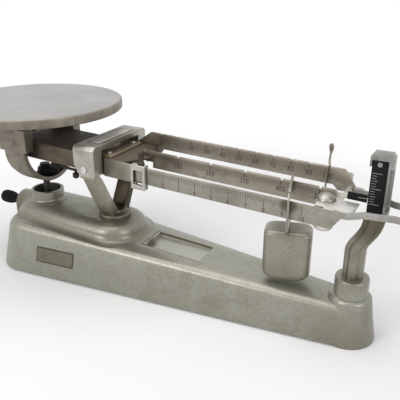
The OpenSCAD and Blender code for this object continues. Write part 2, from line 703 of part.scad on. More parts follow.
module loop_path(grow) polygon(concat([[front_right - 3, -edge_y - grow], [front_right + 10, -edge_y - grow],
    [front_right + 19, 7.5 - edge_y - grow], [loop_cx - 4, -loop_r - grow]],
    arc(loop_cx, 0, loop_r + grow, -85, 85, 10), [[loop_cx - 8, loop_r + 1 + grow],
    [loop_cx - 12, loop_r + 3 + grow], [front_right + 19, edge_y - 4 + grow],
    [rear_right + 14, edge_y + grow], [rear_right + 3, edge_y + grow]]));

module pointer_loop() color("#b9b7b0") on_beam() translate([0, 0, loop_low]) linear_extrude(loop_h)
    difference() {
        loop_path(0);
        loop_path(-1.4);
        translate([front_right - 13, -2 * beam_w]) square([15, 4 * beam_w]);
    }

// Arm that carries the pointer from the end of the middle beam
module pointer_arm() color("#b9b7b0") on_beam() side_plate(strip_t / 2, 1.5 * strip_t)
    polygon([[middle_end - 8, middle_top - 1], [arm_right, middle_top - 1.6], [arm_right, front_top],
        [middle_end - 8, front_top]]);

arm_right = rear_right + 12;

module pointer_tab() color("#1c1c1e") on_beam() box([arm_right - 3, strip_t / 2 - 0.9, front_top + 0.2],
    [plate_dx - 0.6 - arm_right + 3, 0.9, 5.6]);

// Rivet heads inside the flanges
module beam_rivets() color("#c9c9c6") on_beam() both_sides() for (dx = [16, 28])
    translate([dx, edge_y - sheet_t - 0.5, 0]) rotate([-90, 0, 0]) cylinder(r = 1.6, h = 0.5);

wire_dx = -58;
wire_z = -23.5;
wire_r = 1.3;
nut_dx = -41.6;

// Bent wire under the channel with a threaded end for the balancing nut
module balance_wire() color("#1c1c1e") on_beam() union() {
    translate([wire_dx, 0, wire_z]) cylinder(r = wire_r, h = sheet_h - sheet_t - wire_z);
    translate([wire_dx - wire_r, 0, wire_z]) rotate([0, 90, 0])
        cylinder(r = wire_r, h = nut_dx - wire_dx + 2 * wire_r);
    translate([nut_dx, 0, wire_z - 8]) cylinder(r = wire_r, h = 8);
}

module balance_nut() color("#a9a49a") on_beam() translate([nut_dx, 0, wire_z - 7.4]) difference() {
    rotate_extrude() polygon([[0, 0], [2.2, 0], [3, 0.8], [3, 4], [2.2, 4.8], [0, 4.8]]);
    translate([0, 0, -1]) cylinder(r = wire_r, h = 8);
}

rider_w = 13.3;
rider_dx = front_zero + front_reading * front_pitch - 1.8;

// Frame that slides on the front beam, with a window at the reading edge
module front_rider() color("#c9c7c0") on_beam() translate([rider_dx, 0, 0]) difference() {
    box([0, -beam_w / 2 - 2.6, front_top - 18.5], [rider_w, 5.6, 20.6]);
    box([-1, -beam_w / 2 - run_gap, front_top - 17.5], [rider_w + 2, sheet_t + 2 * run_gap, 17.6]);
    box([2.4, -beam_w / 2 - 3, front_top - 14.5], [8.7, 3, 12]);
    box([3, -edge_y, front_top - 16], [rider_w - 6, 5, 14]);
}

module rider_knob() color("#a9a49a") on_beam()
    translate([rider_dx + 8, -beam_w / 2 + 0.7, front_top + 2.1]) rotate_extrude()
    polygon(concat([[0, 0], [2.9, 0], [2.9, 1.6], [2.1, 2.6]], arc(0, 9.6, 2.2, 0, 90)));

poise_dx = zero_reach + middle_reading * notch_pitch;
hook_x = fulcrum_x + poise_dx * cos(rest_tilt) + middle_top * sin(rest_tilt);
hook_z = fulcrum_z + middle_top * cos(rest_tilt) - poise_dx * sin(rest_tilt);
hook_y = beam_w / 2 + 5.5;
poise_top = 80.5;

module on_poise() translate([hook_x, 0, 0]) rotate(poise_turn) children();

// Plate that hooks over the middle beam, passes the front beam and carries the weight
module poise_hanger() color("#b9b7b0") on_poise() cross_plate(-0.8, 0.8) difference() {
    polygon([[5, hook_z + 3.7], [10 - hook_y, hook_z + 3.7], [-hook_y, hook_z - 3],
        [-hook_y, hook_z - 27], [8 - hook_y, hook_z - 33], [-8, hook_z - 35.6], [-5, poise_top],
        [-5, poise_top - 5], [5, poise_top - 5], [5, hook_z - 34],
        [9.5 - hook_y, hook_z - 29.5], [3.2 - hook_y, hook_z - 25.5],
        [3.2 - hook_y, hook_z - 4.5], [9 - hook_y, hook_z - 1.5], [-5, hook_z - 1.5],
        [-5, hook_z - 9], [5, hook_z - 9]]);
    translate([-1.4, hook_z - 10]) square([2.8, 10.1]);
    translate([6 - hook_y, hook_z]) circle(r = 1);
}

module poise_weight() color("#8f9488") on_poise() translate([0, 0, poise_top - weight_h]) difference() {
    intersection() {
        side_plate(-weight_d, weight_d) polygon(concat(
            arc(weight_w / 2 - 7, 7, 7, -90, 0), arc(weight_w / 2 - 6, weight_h - 7, 7, 0, 80),
            arc(-weight_w / 2 + 6, weight_h - 7, 7, 100, 180), arc(-weight_w / 2 + 7, 7, 7, 180, 270)));
        translate([0, 0, -1]) linear_extrude(weight_h + 2) weight_plan();
        cross_plate(-weight_w, weight_w) polygon([[weight_d / 2 - 1, 0], [weight_d / 2, 1.5],
            [weight_d / 2, weight_h - 6], [weight_d / 2 - 4, weight_h], [4 - weight_d / 2, weight_h],
            [-weight_d / 2, weight_h - 6], [-weight_d / 2, 1.5], [1 - weight_d / 2, 0]]);
    }
    box([-0.8, -5, weight_h - 5], [1.6, 10, 6]);
}

module weight_plan() polygon(concat(
    arc(weight_w / 2 - 4, weight_d / 2 - 4, 4, 0, 90, 4),
    arc(4 - weight_w / 2, weight_d / 2 - 4, 4, 90, 180, 4),
    arc(4 - weight_w / 2, 4 - weight_d / 2, 4, 180, 270, 4),
    arc(weight_w / 2 - 4, 4 - weight_d / 2, 4, 270, 360, 4)));

rear_dx = rear_zero + rear_reading * rear_pitch;

// Thin saddle over the rear beam with a twisted finger tab
module rear_hanger() color("#b9b7b0") on_beam() translate([rear_dx, 0, 0]) union() {
    cross_plate(-0.6, 0.6) difference() {
        polygon([[edge_y - 3.4, rear_top - 25], [edge_y - 3.4, rear_top + 2], [edge_y - 1, rear_top + 4],
            [edge_y - 1, rear_top + 12], [edge_y + 2, rear_top + 12], [edge_y + 2.4, rear_top + 4],
            [beam_w / 2 + 4, rear_top + 1], [beam_w / 2 + 4, rear_top - 14],
            [beam_w / 2 + run_gap, rear_top - 14], [edge_y - run_gap, rear_top - 14],
            [edge_y - run_gap, rear_top - 25]]);
        translate([edge_y - run_gap, rear_top - 15]) square([sheet_t + 2 * run_gap, 15.1]);
    }
    translate([0, edge_y + 0.6, rear_top + 11.5]) rotate(40) box([-0.6, -2.2, 0], [1.2, 4.6, 6]);
}

module rear_weight() color("#8f9488") on_beam() translate([rear_dx, 0, 0]) difference() {
    side_plate(beam_w / 2 + run_gap, beam_w / 2 + 13) polygon(concat([[-17, rear_top - 13.6]],
        arc(-15, rear_top - 5.6, 2, 180, 90, 3), arc(15, rear_top - 5.6, 2, 90, 0, 3),
        [[17, rear_top - 13.6]]));
    box([-0.6, beam_w / 2, rear_top - 14], [1.2, 4, 15]);
}

base_casting();
pedestal();
pedestal_bolt();
yoke_cover();
yoke_plate();
yoke_screws();
fulcrum_bearings();
post_arm();
post_bolt();
head_frame();
stop_pins();
scale_plate();
scale_screw();
check_anchor();
anchor_pin();
check_link();
zero_knob();
zero_spindle();
zero_nut();
pan_bow();
pan_bearings();
check_rod();
rod_nut();
rod_pin();
pan_carrier();
carrier_screws();
platform();
beam_channel();
front_beam();
middle_beam();
rear_beam();
end_plate();
fulcrum_knife();
pan_knife();
knife_clamp();
knife_screws();
beam_rivets();
pointer_arm();
pointer_tab();
calibration_cup();
cup_cap();
pointer_loop();
balance_wire();
balance_nut();
front_rider();
rider_knob();
poise_hanger();
poise_weight();
rear_hanger();
rear_weight();
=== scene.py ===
import json
import math

import bmesh
import bpy
from mathutils import Matrix, Vector
from mathutils.bvhtree import BVHTree


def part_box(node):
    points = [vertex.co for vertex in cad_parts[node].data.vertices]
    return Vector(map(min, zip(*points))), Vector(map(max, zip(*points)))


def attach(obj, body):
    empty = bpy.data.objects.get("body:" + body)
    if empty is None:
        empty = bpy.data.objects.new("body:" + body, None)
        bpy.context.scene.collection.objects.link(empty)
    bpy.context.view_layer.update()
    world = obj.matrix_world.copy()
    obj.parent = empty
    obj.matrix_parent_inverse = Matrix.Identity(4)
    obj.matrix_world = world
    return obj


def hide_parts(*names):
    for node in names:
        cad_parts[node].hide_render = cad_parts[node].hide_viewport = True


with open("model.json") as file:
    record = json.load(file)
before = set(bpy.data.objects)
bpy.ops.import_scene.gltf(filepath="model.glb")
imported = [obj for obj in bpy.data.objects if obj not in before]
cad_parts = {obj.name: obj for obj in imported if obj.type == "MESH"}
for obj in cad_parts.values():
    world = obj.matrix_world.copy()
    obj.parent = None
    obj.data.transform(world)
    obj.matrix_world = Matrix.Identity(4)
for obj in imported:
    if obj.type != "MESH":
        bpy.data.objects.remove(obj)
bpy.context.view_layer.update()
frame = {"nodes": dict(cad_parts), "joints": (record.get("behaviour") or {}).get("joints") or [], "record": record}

# The room: a pale floor that fades to white away from the balance, with soft lamps above it.
# The camera stands in front and to the right, a little above the beams, as the photograph was taken.
MM = 0.001
scene = bpy.context.scene
scene.view_settings.view_transform = "Standard"
joints = {joint["name"]: joint for joint in frame["joints"]}
fulcrum = Vector(joints["beam_tilt"]["pos_m"])

camera_azimuth = math.radians(28.012)
camera_height = math.radians(22.785)
camera_roll = math.radians(0.086)
camera_place = Vector((282.76 * MM + fulcrum.x, -367.06 * MM, 261.90 * MM))
camera_data = bpy.data.cameras.new("camera")
camera_data.lens = 49.33
camera_data.sensor_width = 36
camera_data.clip_start = 0.01
camera = bpy.data.objects.new("camera", camera_data)
camera.matrix_world = (Matrix.Translation(camera_place) @ Matrix.Rotation(camera_azimuth, 4, "Z")
                       @ Matrix.Rotation(math.pi / 2 - camera_height, 4, "X")
                       @ Matrix.Rotation(camera_roll, 4, "Z"))
scene.collection.objects.link(camera)
scene.camera = camera


# An empty material, with its node tree and the Object coordinates that its patterns follow
def new_material(name):
    material = bpy.data.materials.new(name)
    material.use_nodes = True
    tree = material.node_tree
    tree.nodes.clear()
    return material, tree, add_node(tree, "TexCoord").outputs["Object"]


# A shader node with its inputs linked or set, where a colour is written as red, green and blue
def add_node(tree, kind, inputs=None, **settings):
    node = tree.nodes.new("ShaderNode" + kind)
    for key, value in settings.items():
        setattr(node, key, value)
    for key, value in (inputs or {}).items():
        socket = node.inputs[key]
        if isinstance(value, bpy.types.NodeSocket):
            tree.links.new(value, socket)
        elif socket.type == "RGBA":
            socket.default_value = (*value, 1)
        else:
            socket.default_value = value
    return node


def calculate(tree, operation, *values):
    return add_node(tree, "Math", dict(enumerate(values)), operation=operation).outputs[0]


def length_of(tree, vector):
    return add_node(tree, "VectorMath", {0: vector}, operation="LENGTH").outputs["Value"]


def offset_from(tree, vector, centre):
    return add_node(tree, "VectorMath", {0: vector, 1: centre}, operation="SUBTRACT").outputs[0]


def remap(tree, value, source, target=(0.0, 1.0), smooth=False):
    sizes = {"Value": value, "From Min": source[0], "From Max": source[1],
             "To Min": target[0], "To Max": target[1]}
    kind = "SMOOTHSTEP" if smooth else "LINEAR"
    return add_node(tree, "MapRange", sizes, interpolation_type=kind).outputs[0]


def finish_tree(tree, shader, kind="Material"):
    out = tree.nodes.new("ShaderNodeOutput" + kind)
    tree.links.new(shader.outputs[0], out.inputs[0])


floor_size = 8.0
floor_mesh = bpy.data.meshes.new("floor")
floor_corners = [(-1, -1), (1, -1), (1, 1), (-1, 1)]
floor_mesh.from_pydata([(x * floor_size, y * floor_size, 0) for x, y in floor_corners], [], [(0, 1, 2, 3)])
floor = bpy.data.objects.new("floor", floor_mesh)
scene.collection.objects.link(floor)
floor_paint, tree, place = new_material("white_floor")
shadow_middle, shadow_reach, white_reach = 0.02, 0.22, 0.50
away = length_of(tree, offset_from(tree, place, (shadow_middle, 0, 0)))
fade = remap(tree, away, (shadow_reach, white_reach), smooth=True)
matt = add_node(tree, "BsdfDiffuse", {"Color": (0.92, 0.92, 0.92)})
glow = add_node(tree, "Emission", {"Color": (1, 1, 1), "Strength": 1.0})
finish_tree(tree, add_node(tree, "MixShader", {0: fade, 1: matt.outputs[0], 2: glow.outputs[0]}))
floor_mesh.materials.append(floor_paint)

world = bpy.data.worlds.new("studio")
world.use_nodes = True
scene.world = world
tree = world.node_tree
tree.nodes.clear()
rays = add_node(tree, "LightPath").outputs
seen = calculate(tree, "MAXIMUM", rays["Is Camera Ray"], rays["Is Glossy Ray"])
strength = remap(tree, seen, (0.0, 1.0), (0.5, 1.0))
finish_tree(tree, add_node(tree, "Background", {"Color": (1, 1, 1), "Strength": strength}), "World")


def soft_lamp(name, place, aim, size, watts):
    lamp_data = bpy.data.lights.new(name, "AREA")
    lamp_data.shape = "DISK"
    lamp_data.size = size
    lamp_data.energy = watts
    lamp = bpy.data.objects.new(name, lamp_data)
    lamp.location = place
    lamp.rotation_euler = (Vector(aim) - Vector(place)).to_track_quat("-Z", "Y").to_euler()
    scene.collection.objects.link(lamp)


soft_lamp("lamp_above", place=(-0.25, -0.15, 1.3), aim=(0, 0, 0.05), size=1.4, watts=9)
soft_lamp("lamp_front", place=(-0.5, -1.2, 0.7), aim=(0, 0, 0.06), size=0.6, watts=5)
soft_lamp("lamp_right", place=(1.1, -0.5, 0.6), aim=(0.05, 0, 0.06), size=0.5, watts=2.2)

# Base: one iron casting, open below, with a ridge, a boss for the platform rod and a round column.
# It is sprayed with grey hammertone paint, which dries in fine dimples and dulls where hands touch it; painted
# shade darkens it at the feet of the pedestal and post, round the ridge and in the tray.
bodies = frame["record"]["behaviour"]["bodies"]
body_of_node = {node: body for body, nodes in bodies.items() for node in nodes}


def finish_piece(name, mesh, body, material, nodes=()):
    piece = bpy.data.objects.new(name, mesh)
    scene.collection.objects.link(piece)
    mesh.materials.clear()
    mesh.materials.append(material)
    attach(piece, body)
    if nodes:
        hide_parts(*nodes)
    return piece


# A piece made here in place of a CAD node, on that node's body, with the node hidden
def stand_in(name, mesh, node, material):
    return finish_piece(name, mesh, body_of_node[node], material, [node])


# Turns a bmesh into a smooth mesh that stays sharp at its edges past the angle, which is in degrees
def smooth_mesh(work, mesh, angle):
    work.to_mesh(mesh)
    work.free()
    mesh.shade_smooth()
    mesh.set_sharp_from_angle(angle=math.radians(angle))


def ease_edges(work, edge, angle, segments):
    sharp = [e for e in work.edges if e.is_manifold and e.calc_face_angle(0) > math.radians(angle)]
    bmesh.ops.bevel(work, geom=sharp, offset=edge * MM, segments=segments, profile=0.5, affect="EDGES",
                    clamp_overlap=True)


# A copy of a CAD node with its loose triangles joined and its sharp edges broken as on the real piece
def eased_copy(node, material, edge=0.3, angle=35, segments=2):
    mesh = frame["nodes"][node].data.copy()
    mesh.name = node + "_eased"
    work = bmesh.new()
    work.from_mesh(mesh)
    bmesh.ops.remove_doubles(work, verts=work.verts, dist=2e-6)
    bmesh.ops.dissolve_limit(work, angle_limit=math.radians(0.5), verts=work.verts, edges=work.edges)
    if edge:
        ease_edges(work, edge, angle, segments)
    bmesh.ops.triangulate(work, faces=[f for f in work.faces if len(f.verts) > 4])
    smooth_mesh(work, mesh, angle)
    return stand_in(node + "_piece", mesh, node, material)


# Gives a piece a second material on the faces that the test picks
def paint_faces(piece, material, is_picked):
    piece.data.materials.append(material)
    for face in piece.data.polygons:
        if is_picked(face):
            face.material_index = 1


def noise(tree, place, scale, detail, roughness=0.5):
    sizes = {"Vector": place, "Scale": scale, "Detail": detail, "Roughness": roughness}
    return add_node(tree, "TexNoise", sizes).outputs[0]


def mix_numbers(tree, share, first, second):
    return add_node(tree, "Mix", {0: share, 2: first, 3: second}, data_type="FLOAT").outputs[0]


def mix_colours(tree, share, first, second):
    return add_node(tree, "Mix", {0: share, 6: first, 7: second}, data_type="RGBA").outputs[2]


def bumps(tree, height, strength, depth):
    return add_node(tree, "Bump", {"Height": height, "Strength": strength, "Distance": depth}).outputs[0]


# Adds dark places, each a centre, a radius and a strength, to the share of grime and painted shade that a finish
# has
def add_soil_and_shade(tree, place, grime, share, soil_and_shade_spots):
    for centre, radius, strength in soil_and_shade_spots:
        away = add_node(tree, "VectorMath", {0: place, 1: centre}, operation="DISTANCE").outputs["Value"]
        near = remap(tree, away, (radius * 0.35, radius), (strength, 0.0), smooth=True)
        broken = calculate(tree, "ADD", grime, 0.45)
        share = calculate(tree, "MAXIMUM", share, calculate(tree, "MULTIPLY", near, broken))
    return share


ridge_left = fulcrum.x - 80 * MM
ridge_half = 40 * MM
deck_slope = 0.048
tray_middle = fulcrum.x + 64.5 * MM
tray_half_length = 27 * MM
tray_half_width = 13.75 * MM
tray_colour = (0.42, 0.415, 0.36)


# Share of painted shade in the hollow round the foot of the ridge, as a band that follows the ridge in plan
def ridge_hollow_shade(tree, parts, strength):
    along = calculate(tree, "ABSOLUTE", calculate(tree, "SUBTRACT", parts[0], ridge_left + ridge_half))
    beyond = calculate(tree, "MAXIMUM", calculate(tree, "SUBTRACT", along, ridge_half), 0.0)
    reach = length_of(tree, add_node(tree, "CombineXYZ", {0: beyond, 1: parts[1]}).outputs[0])
    inner = remap(tree, reach, (24 * MM, 30 * MM), smooth=True)
    outer = remap(tree, reach, (30 * MM, 37 * MM), (1.0, 0.0), smooth=True)
    on_deck = remap(tree, parts[2], (37 * MM, 42 * MM), (0.0, strength))
    return calculate(tree, "MULTIPLY", calculate(tree, "MULTIPLY", inner, outer), on_deck)


# Shares of the lighter paint inside the deck tray and of the painted shade line round its rim
def tray_shares(tree, parts):
    from_middle = calculate(tree, "ABSOLUTE", calculate(tree, "SUBTRACT", parts[0], tray_middle))
    end_gap = calculate(tree, "SUBTRACT", from_middle, tray_half_length)
    side_gap = calculate(tree, "SUBTRACT", calculate(tree, "ABSOLUTE", parts[1]), tray_half_width)
    gap = calculate(tree, "MAXIMUM", end_gap, side_gap)
    inside = remap(tree, gap, (0.15 * MM, 0.45 * MM), (1.0, 0.0))
    above = remap(tree, parts[2], (28 * MM, 30 * MM))
    line = remap(tree, calculate(tree, "ABSOLUTE", gap), (0.6 * MM, 1.0 * MM), (1.0, 0.0))
    fall = calculate(tree, "SUBTRACT", parts[0], fulcrum.x)
    level = calculate(tree, "MULTIPLY_ADD", fall, deck_slope, parts[2])
    on_rim = remap(tree, level, (40.6 * MM, 41.0 * MM))
    return calculate(tree, "MULTIPLY", inside, above), calculate(tree, "MULTIPLY", line, on_rim)


# Hammertone: fine dimples with a brighter rim, darker where grime gathers and in the listed dark places, which
# hold grime and painted shade.
# A value of hollow above 0 adds painted shade in the hollow round the ridge, the tray's own paint and a painted
# shade line round the tray's rim.
def hammertone_paint(name, light, dark, soil_and_shade_colour, soil_and_shade_spots, hollow=0.0, coat=0.18):
    material, tree, place = new_material(name)
    dimple_sizes = {"Vector": place, "Scale": 820.0, "Randomness": 0.95}
    dimples = add_node(tree, "TexVoronoi", dimple_sizes, feature="SMOOTH_F1").outputs["Distance"]
    drift = noise(tree, place, 70.0, 5.0, 0.65)
    grain = noise(tree, place, 1500.0, 2.0)
    grime = noise(tree, place, 22.0, 6.0, 0.7)
    shade = mix_numbers(tree, 0.45, drift, remap(tree, dimples, (0.1, 0.9)))
    paint = mix_colours(tree, remap(tree, shade, (0.3, 0.7)), light, dark)
    soil_and_shade = add_soil_and_shade(tree, place, grime, remap(tree, grime, (0.54, 0.80), (0.0, 0.5)), soil_and_shade_spots)
    if hollow:
        parts = add_node(tree, "SeparateXYZ", {0: place}).outputs
        inside, rim_shade_line = tray_shares(tree, parts)
        paint = mix_colours(tree, inside, paint, tray_colour)
        soil_and_shade = calculate(tree, "MAXIMUM", soil_and_shade, ridge_hollow_shade(tree, parts, hollow))
        soil_and_shade = calculate(tree, "MAXIMUM", soil_and_shade, rim_shade_line)
    sheen = remap(tree, grain, (0.0, 1.0), (0.25, 0.44))
    relief = bumps(tree, mix_numbers(tree, 0.25, dimples, grain), 0.22, 0.5 * MM)
    finish_tree(tree, add_node(tree, "BsdfPrincipled", {
        "Base Color": mix_colours(tree, soil_and_shade, paint, soil_and_shade_colour), "Metallic": 0.55, "Roughness": sheen,
        "Normal": relief, "Coat Weight": coat, "Coat Roughness": 0.12}))
    return material


# A plain finish in two tones that drift into each other
def clouded_finish(name, first, second, scale, detail, roughness, metallic=0.0):
    material, tree, place = new_material(name)
    tone = mix_colours(tree, noise(tree, place, scale, detail), first, second)
    finish_tree(tree, add_node(tree, "BsdfPrincipled", {
        "Base Color": tone, "Metallic": metallic, "Roughness": roughness}))
    return material


post_axis = fulcrum.x + 216.5 * MM
# Dark places on the base, each a centre, a radius and a strength: painted shade at the pedestal's foot, a darker
# tone at the ridge's left end, painted shade at the post's foot, a darker tone low on the front under the post and
# over the left end, a painted shadow of the tray's left wall, and a darker tone over the right end
base_soil_and_shade = [((fulcrum.x, 0, 60 * MM), 34 * MM, 0.75),
             ((ridge_left, -6 * MM, 58 * MM), 26 * MM, 0.35),
             ((post_axis, -2 * MM, 54 * MM), 20 * MM, 0.35),
             ((post_axis + 4 * MM, -24 * MM, 2 * MM), 40 * MM, 0.35),
             ((fulcrum.x - 128 * MM, -4 * MM, 24 * MM), 60 * MM, 1.3),
             ((tray_middle - 25 * MM, -3 * MM, 37 * MM), 8 * MM, 0.7),
             ((post_axis + 22 * MM, 0, 16 * MM), 30 * MM, 0.35)]
hammertone = hammertone_paint("grey_hammertone", (0.33, 0.325, 0.272), (0.235, 0.23, 0.182),
                              (0.12, 0.10, 0.06), base_soil_and_shade, hollow=0.5)
base_piece = eased_copy("base_casting", hammertone, edge=0.8, angle=28)
pan_pivot = Vector(joints["pan_level"]["pos_m"])
bore_radius = 13.2 * MM
# The faces inside the boss's bore are painted near black, as painted shade
bore_shade = clouded_finish("bore_shade", (0.03, 0.026, 0.018), (0.07, 0.063, 0.045), 200.0, 4.0, 0.7)


def is_in_bore(face):
    return math.hypot(face.center.x - pan_pivot.x, face.center.y) < bore_radius and abs(face.normal.z) < 0.5


paint_faces(base_piece, bore_shade, is_in_bore)


# Concave fillet where the ridge grows out of the deck, tangent to both, thinner round the left end
def ridge_fillet_mesh():
    stations, steps = 96, 8
    ridge_flat, ridge_round, ridge_top = 17 * MM, 12 * MM, 56.5 * MM
    deck_height, deck_reach, sink = 42 * MM, 32 * MM, 0.05 * MM
    widest, thinning = 8.0, 7.2
    round_z = ridge_top - ridge_round
    work = bmesh.new()
    rows = []
    for i in range(stations):
        turn = i / stations
        if turn < 0.25:
            centre_x, angle = ridge_half * (8 * turn - 1), math.pi * 1.5
        elif turn < 0.5:
            centre_x, angle = ridge_half, math.pi * (1.5 + 4 * (turn - 0.25))
        elif turn < 0.75:
            centre_x, angle = ridge_half * (1 - 8 * (turn - 0.5)), math.pi * 0.5
        else:
            centre_x, angle = -ridge_half, math.pi * (0.5 + 4 * (turn - 0.75))
        outward = Vector((math.cos(angle), math.sin(angle)))
        radius = (widest - thinning * max(0.0, -outward.x) ** 0.5) * MM
        deck = deck_height - deck_slope * (centre_x + outward.x * deck_reach - ridge_half) - sink
        lift = deck + radius - round_z
        gap = math.sqrt((ridge_round + radius) ** 2 - lift ** 2)
        hub = (ridge_flat + gap, deck + radius)
        first = math.atan2(-lift, -gap)
        last = -math.pi / 2
        if first > 0:
            first -= 2 * math.pi
        profile = []
        for k in range(steps + 1):
            bend = first + (last - first) * k / steps
            profile.append((hub[0] + radius * math.cos(bend), hub[1] + radius * math.sin(bend)))
        profile.append((hub[0] - 5 * MM, deck - 3 * MM))
        middle_x = fulcrum.x - ridge_half + centre_x
        rows.append([work.verts.new((middle_x + outward.x * reach, outward.y * reach, height))
                     for reach, height in profile])
    for row, following in zip(rows, rows[1:] + rows[:1]):
        for k in range(len(row)):
            work.faces.new((row[k], row[k - 1], following[k - 1], following[k]))
    bmesh.ops.recalc_face_normals(work, faces=work.faces)
    mesh = bpy.data.meshes.new("ridge_fillet")
    smooth_mesh(work, mesh, 50)
    return mesh


finish_piece("ridge_fillet", ridge_fillet_mesh(), "base", hammertone)

# The tray's floor is a slab of its own: it lies deep at the left and close under the rim at the right
slab_place = Matrix.Translation((fulcrum.x, 0, 0)) @ Matrix.Rotation(math.atan(deck_slope), 4, "Y")
slab_under = 35.6
slab_corners = [(37.6, -13.7, 37.2), (91.4, -13.7, 40.4), (91.4, 13.7, 40.4), (37.6, 13.7, 38.8)]
slab_points = slab_corners + [(x, y, slab_under) for x, y, z in slab_corners]
slab_sides = [(0, 4, 5, 1), (1, 5, 6, 2), (2, 6, 7, 3), (3, 7, 4, 0)]
slab_mesh = bpy.data.meshes.new("tray_floor")
slab_mesh.from_pydata([slab_place @ (Vector(point) * MM) for point in slab_points], [],
                      [(0, 1, 2, 3), (7, 6, 5, 4)] + slab_sides)
finish_piece("tray_floor", slab_mesh, "base", hammertone)

# Name plate: a bare rectangle of thin metal with a dark rim, stuck to the sloping front of the base.
# It is pressed from sheet and stands less than half a millimetre proud of the paint.
plate_low = Vector((fulcrum.x - 58.5 * MM, 14.5 * MM))
plate_high = Vector((fulcrum.x - 19 * MM, 28.6 * MM))
plate_rim_width, plate_sheet = 1.1 * MM, 0.5 * MM
base_faces = [tuple(face.vertices) for face in base_piece.data.polygons]
base_tree = BVHTree.FromPolygons([corner.co for corner in base_piece.data.vertices], base_faces)


def on_front(x, z, lift):
    hit, normal, _, _ = base_tree.ray_cast(Vector((x, -1, z)), Vector((0, 1, 0)))
    return hit + normal * lift


def sheet_on_front(name, inset, lift, material):
    work = bmesh.new()
    columns = 9
    low_x, high_x = plate_low.x + inset, plate_high.x - inset
    low_z, high_z = plate_low.y + inset, plate_high.y - inset
    across = [low_x + (high_x - low_x) * i / columns for i in range(columns + 1)]
    rows = [[work.verts.new(on_front(x, z, lift)) for x in across]
            for z in (low_z, (low_z + high_z) / 2, high_z)]
    for lower, upper in zip(rows, rows[1:]):
        for i in range(columns):
            work.faces.new((lower[i], lower[i + 1], upper[i + 1], upper[i]))
    bmesh.ops.recalc_face_normals(work, faces=work.faces)
    if sum(f.normal.y for f in work.faces) > 0:
        bmesh.ops.reverse_faces(work, faces=work.faces)
    mesh = bpy.data.meshes.new(name)
    work.to_mesh(mesh)
    work.free()
    piece = bpy.data.objects.new(name, mesh)
    scene.collection.objects.link(piece)
    wall = piece.modifiers.new("wall", "SOLIDIFY")
    wall.thickness = plate_sheet
    wall.offset = -1
    solid = bpy.data.meshes.new_from_object(piece.evaluated_get(bpy.context.evaluated_depsgraph_get()))
    bpy.data.objects.remove(piece)
    return finish_piece(name, solid, "base", material)


# Bare metal with fine lines, drifting tones, spots of tarnish and any listed dark places, which hold soil and
# painted shade. The value along stretches the lines.
def brushed_metal(name, light, dark, stain_and_shade, along, roughness, metallic=0.8, soil_and_shade_spots=()):
    material, tree, place = new_material(name)
    stretched = add_node(tree, "Mapping", {"Vector": place, "Scale": along}).outputs[0]
    lines = noise(tree, stretched, 1.0, 3.0, 0.65)
    drift = noise(tree, place, 45.0, 5.0, 0.62)
    spots = noise(tree, place, 160.0, 4.0, 0.7)
    mottle = mix_numbers(tree, 0.35, drift, lines)
    metal = mix_colours(tree, remap(tree, mottle, (0.35, 0.65)), light, dark)
    soil_and_shade = add_soil_and_shade(tree, place, drift, remap(tree, spots, (0.55, 0.75), (0.0, 0.6)), soil_and_shade_spots)
    sheen = remap(tree, mottle, (0.3, 0.7), (roughness - 0.08, roughness + 0.1))
    finish_tree(tree, add_node(tree, "BsdfPrincipled", {
        "Base Color": mix_colours(tree, soil_and_shade, metal, stain_and_shade), "Metallic": metallic, "Roughness": sheen,
        "Normal": bumps(tree, lines, 0.12, 0.2 * MM)}))
    return material


lines_along_x = (60, 900, 900)
lines_along_z = (500, 500, 60)
lines_all_round = (300, 300, 300)
plate_metal = brushed_metal("name_plate_metal", (0.19, 0.18, 0.135), (0.13, 0.122, 0.09),
                            (0.10, 0.09, 0.06), lines_along_x, roughness=0.5)
plate_rim = brushed_metal("name_plate_rim", (0.10, 0.095, 0.08), (0.06, 0.055, 0.045),
                          (0.04, 0.035, 0.03), lines_along_x, roughness=0.6)
sheet_on_front("name_plate_border", 0, 0.25 * MM, plate_rim)
sheet_on_front("name_plate_face", plate_rim_width, 0.4 * MM, plate_metal)

# Pedestal and post: two smaller castings in the same paint, each bolted to the base from below.
# The pedestal opens in a V for the two bearings. The post bends over at its top to carry the head.
# Painted shade on the pedestal: at its foot and, strongest, high on its back
pedestal_shade = [((fulcrum.x, 0, 62 * MM), 26 * MM, 0.8), ((fulcrum.x, 24 * MM, 84 * MM), 40 * MM, 2.4)]
pedestal_paint = hammertone_paint("pedestal_hammertone", (0.36, 0.345, 0.28), (0.26, 0.24, 0.185),
                                  (0.04, 0.028, 0.013), pedestal_shade, coat=0.0)
eased_copy("pedestal", pedestal_paint, edge=0.8, angle=30, segments=3)
# Dark places on the arm, partly grime and partly painted shade: under the head, at its foot and on its front
# halfway up
arm_soil_and_shade = [((post_axis + 9 * MM, 0, 98 * MM), 24 * MM, 1.0),
            ((post_axis, 0, 52 * MM), 16 * MM, 0.5),
            ((post_axis - 2 * MM, -8 * MM, 74 * MM), 12 * MM, 0.25)]
arm_paint = hammertone_paint("arm_hammertone", (0.27, 0.26, 0.21), (0.205, 0.195, 0.15),
                             (0.10, 0.085, 0.05), arm_soil_and_shade)


# A solid of sections laid one after the other, each a ring of points, with rounded edges if asked
def lofted_mesh(name, rings, place, edge=0.0, angle=30, segments=3):
    work = bmesh.new()
    rows = [[work.verts.new(point) for point in ring] for ring in rings]
    for row, following in zip(rows, rows[1:]):
        for k in range(len(row)):
            work.faces.new((row[k - 1], row[k], following[k], following[k - 1]))
    work.faces.new(rows[0])
    work.faces.new(rows[-1])
    bmesh.ops.recalc_face_normals(work, faces=work.faces)
    if edge:
        ease_edges(work, edge, angle, segments)
    bmesh.ops.transform(work, matrix=place, verts=work.verts)
    mesh = bpy.data.meshes.new(name)
    smooth_mesh(work, mesh, angle)
    return mesh


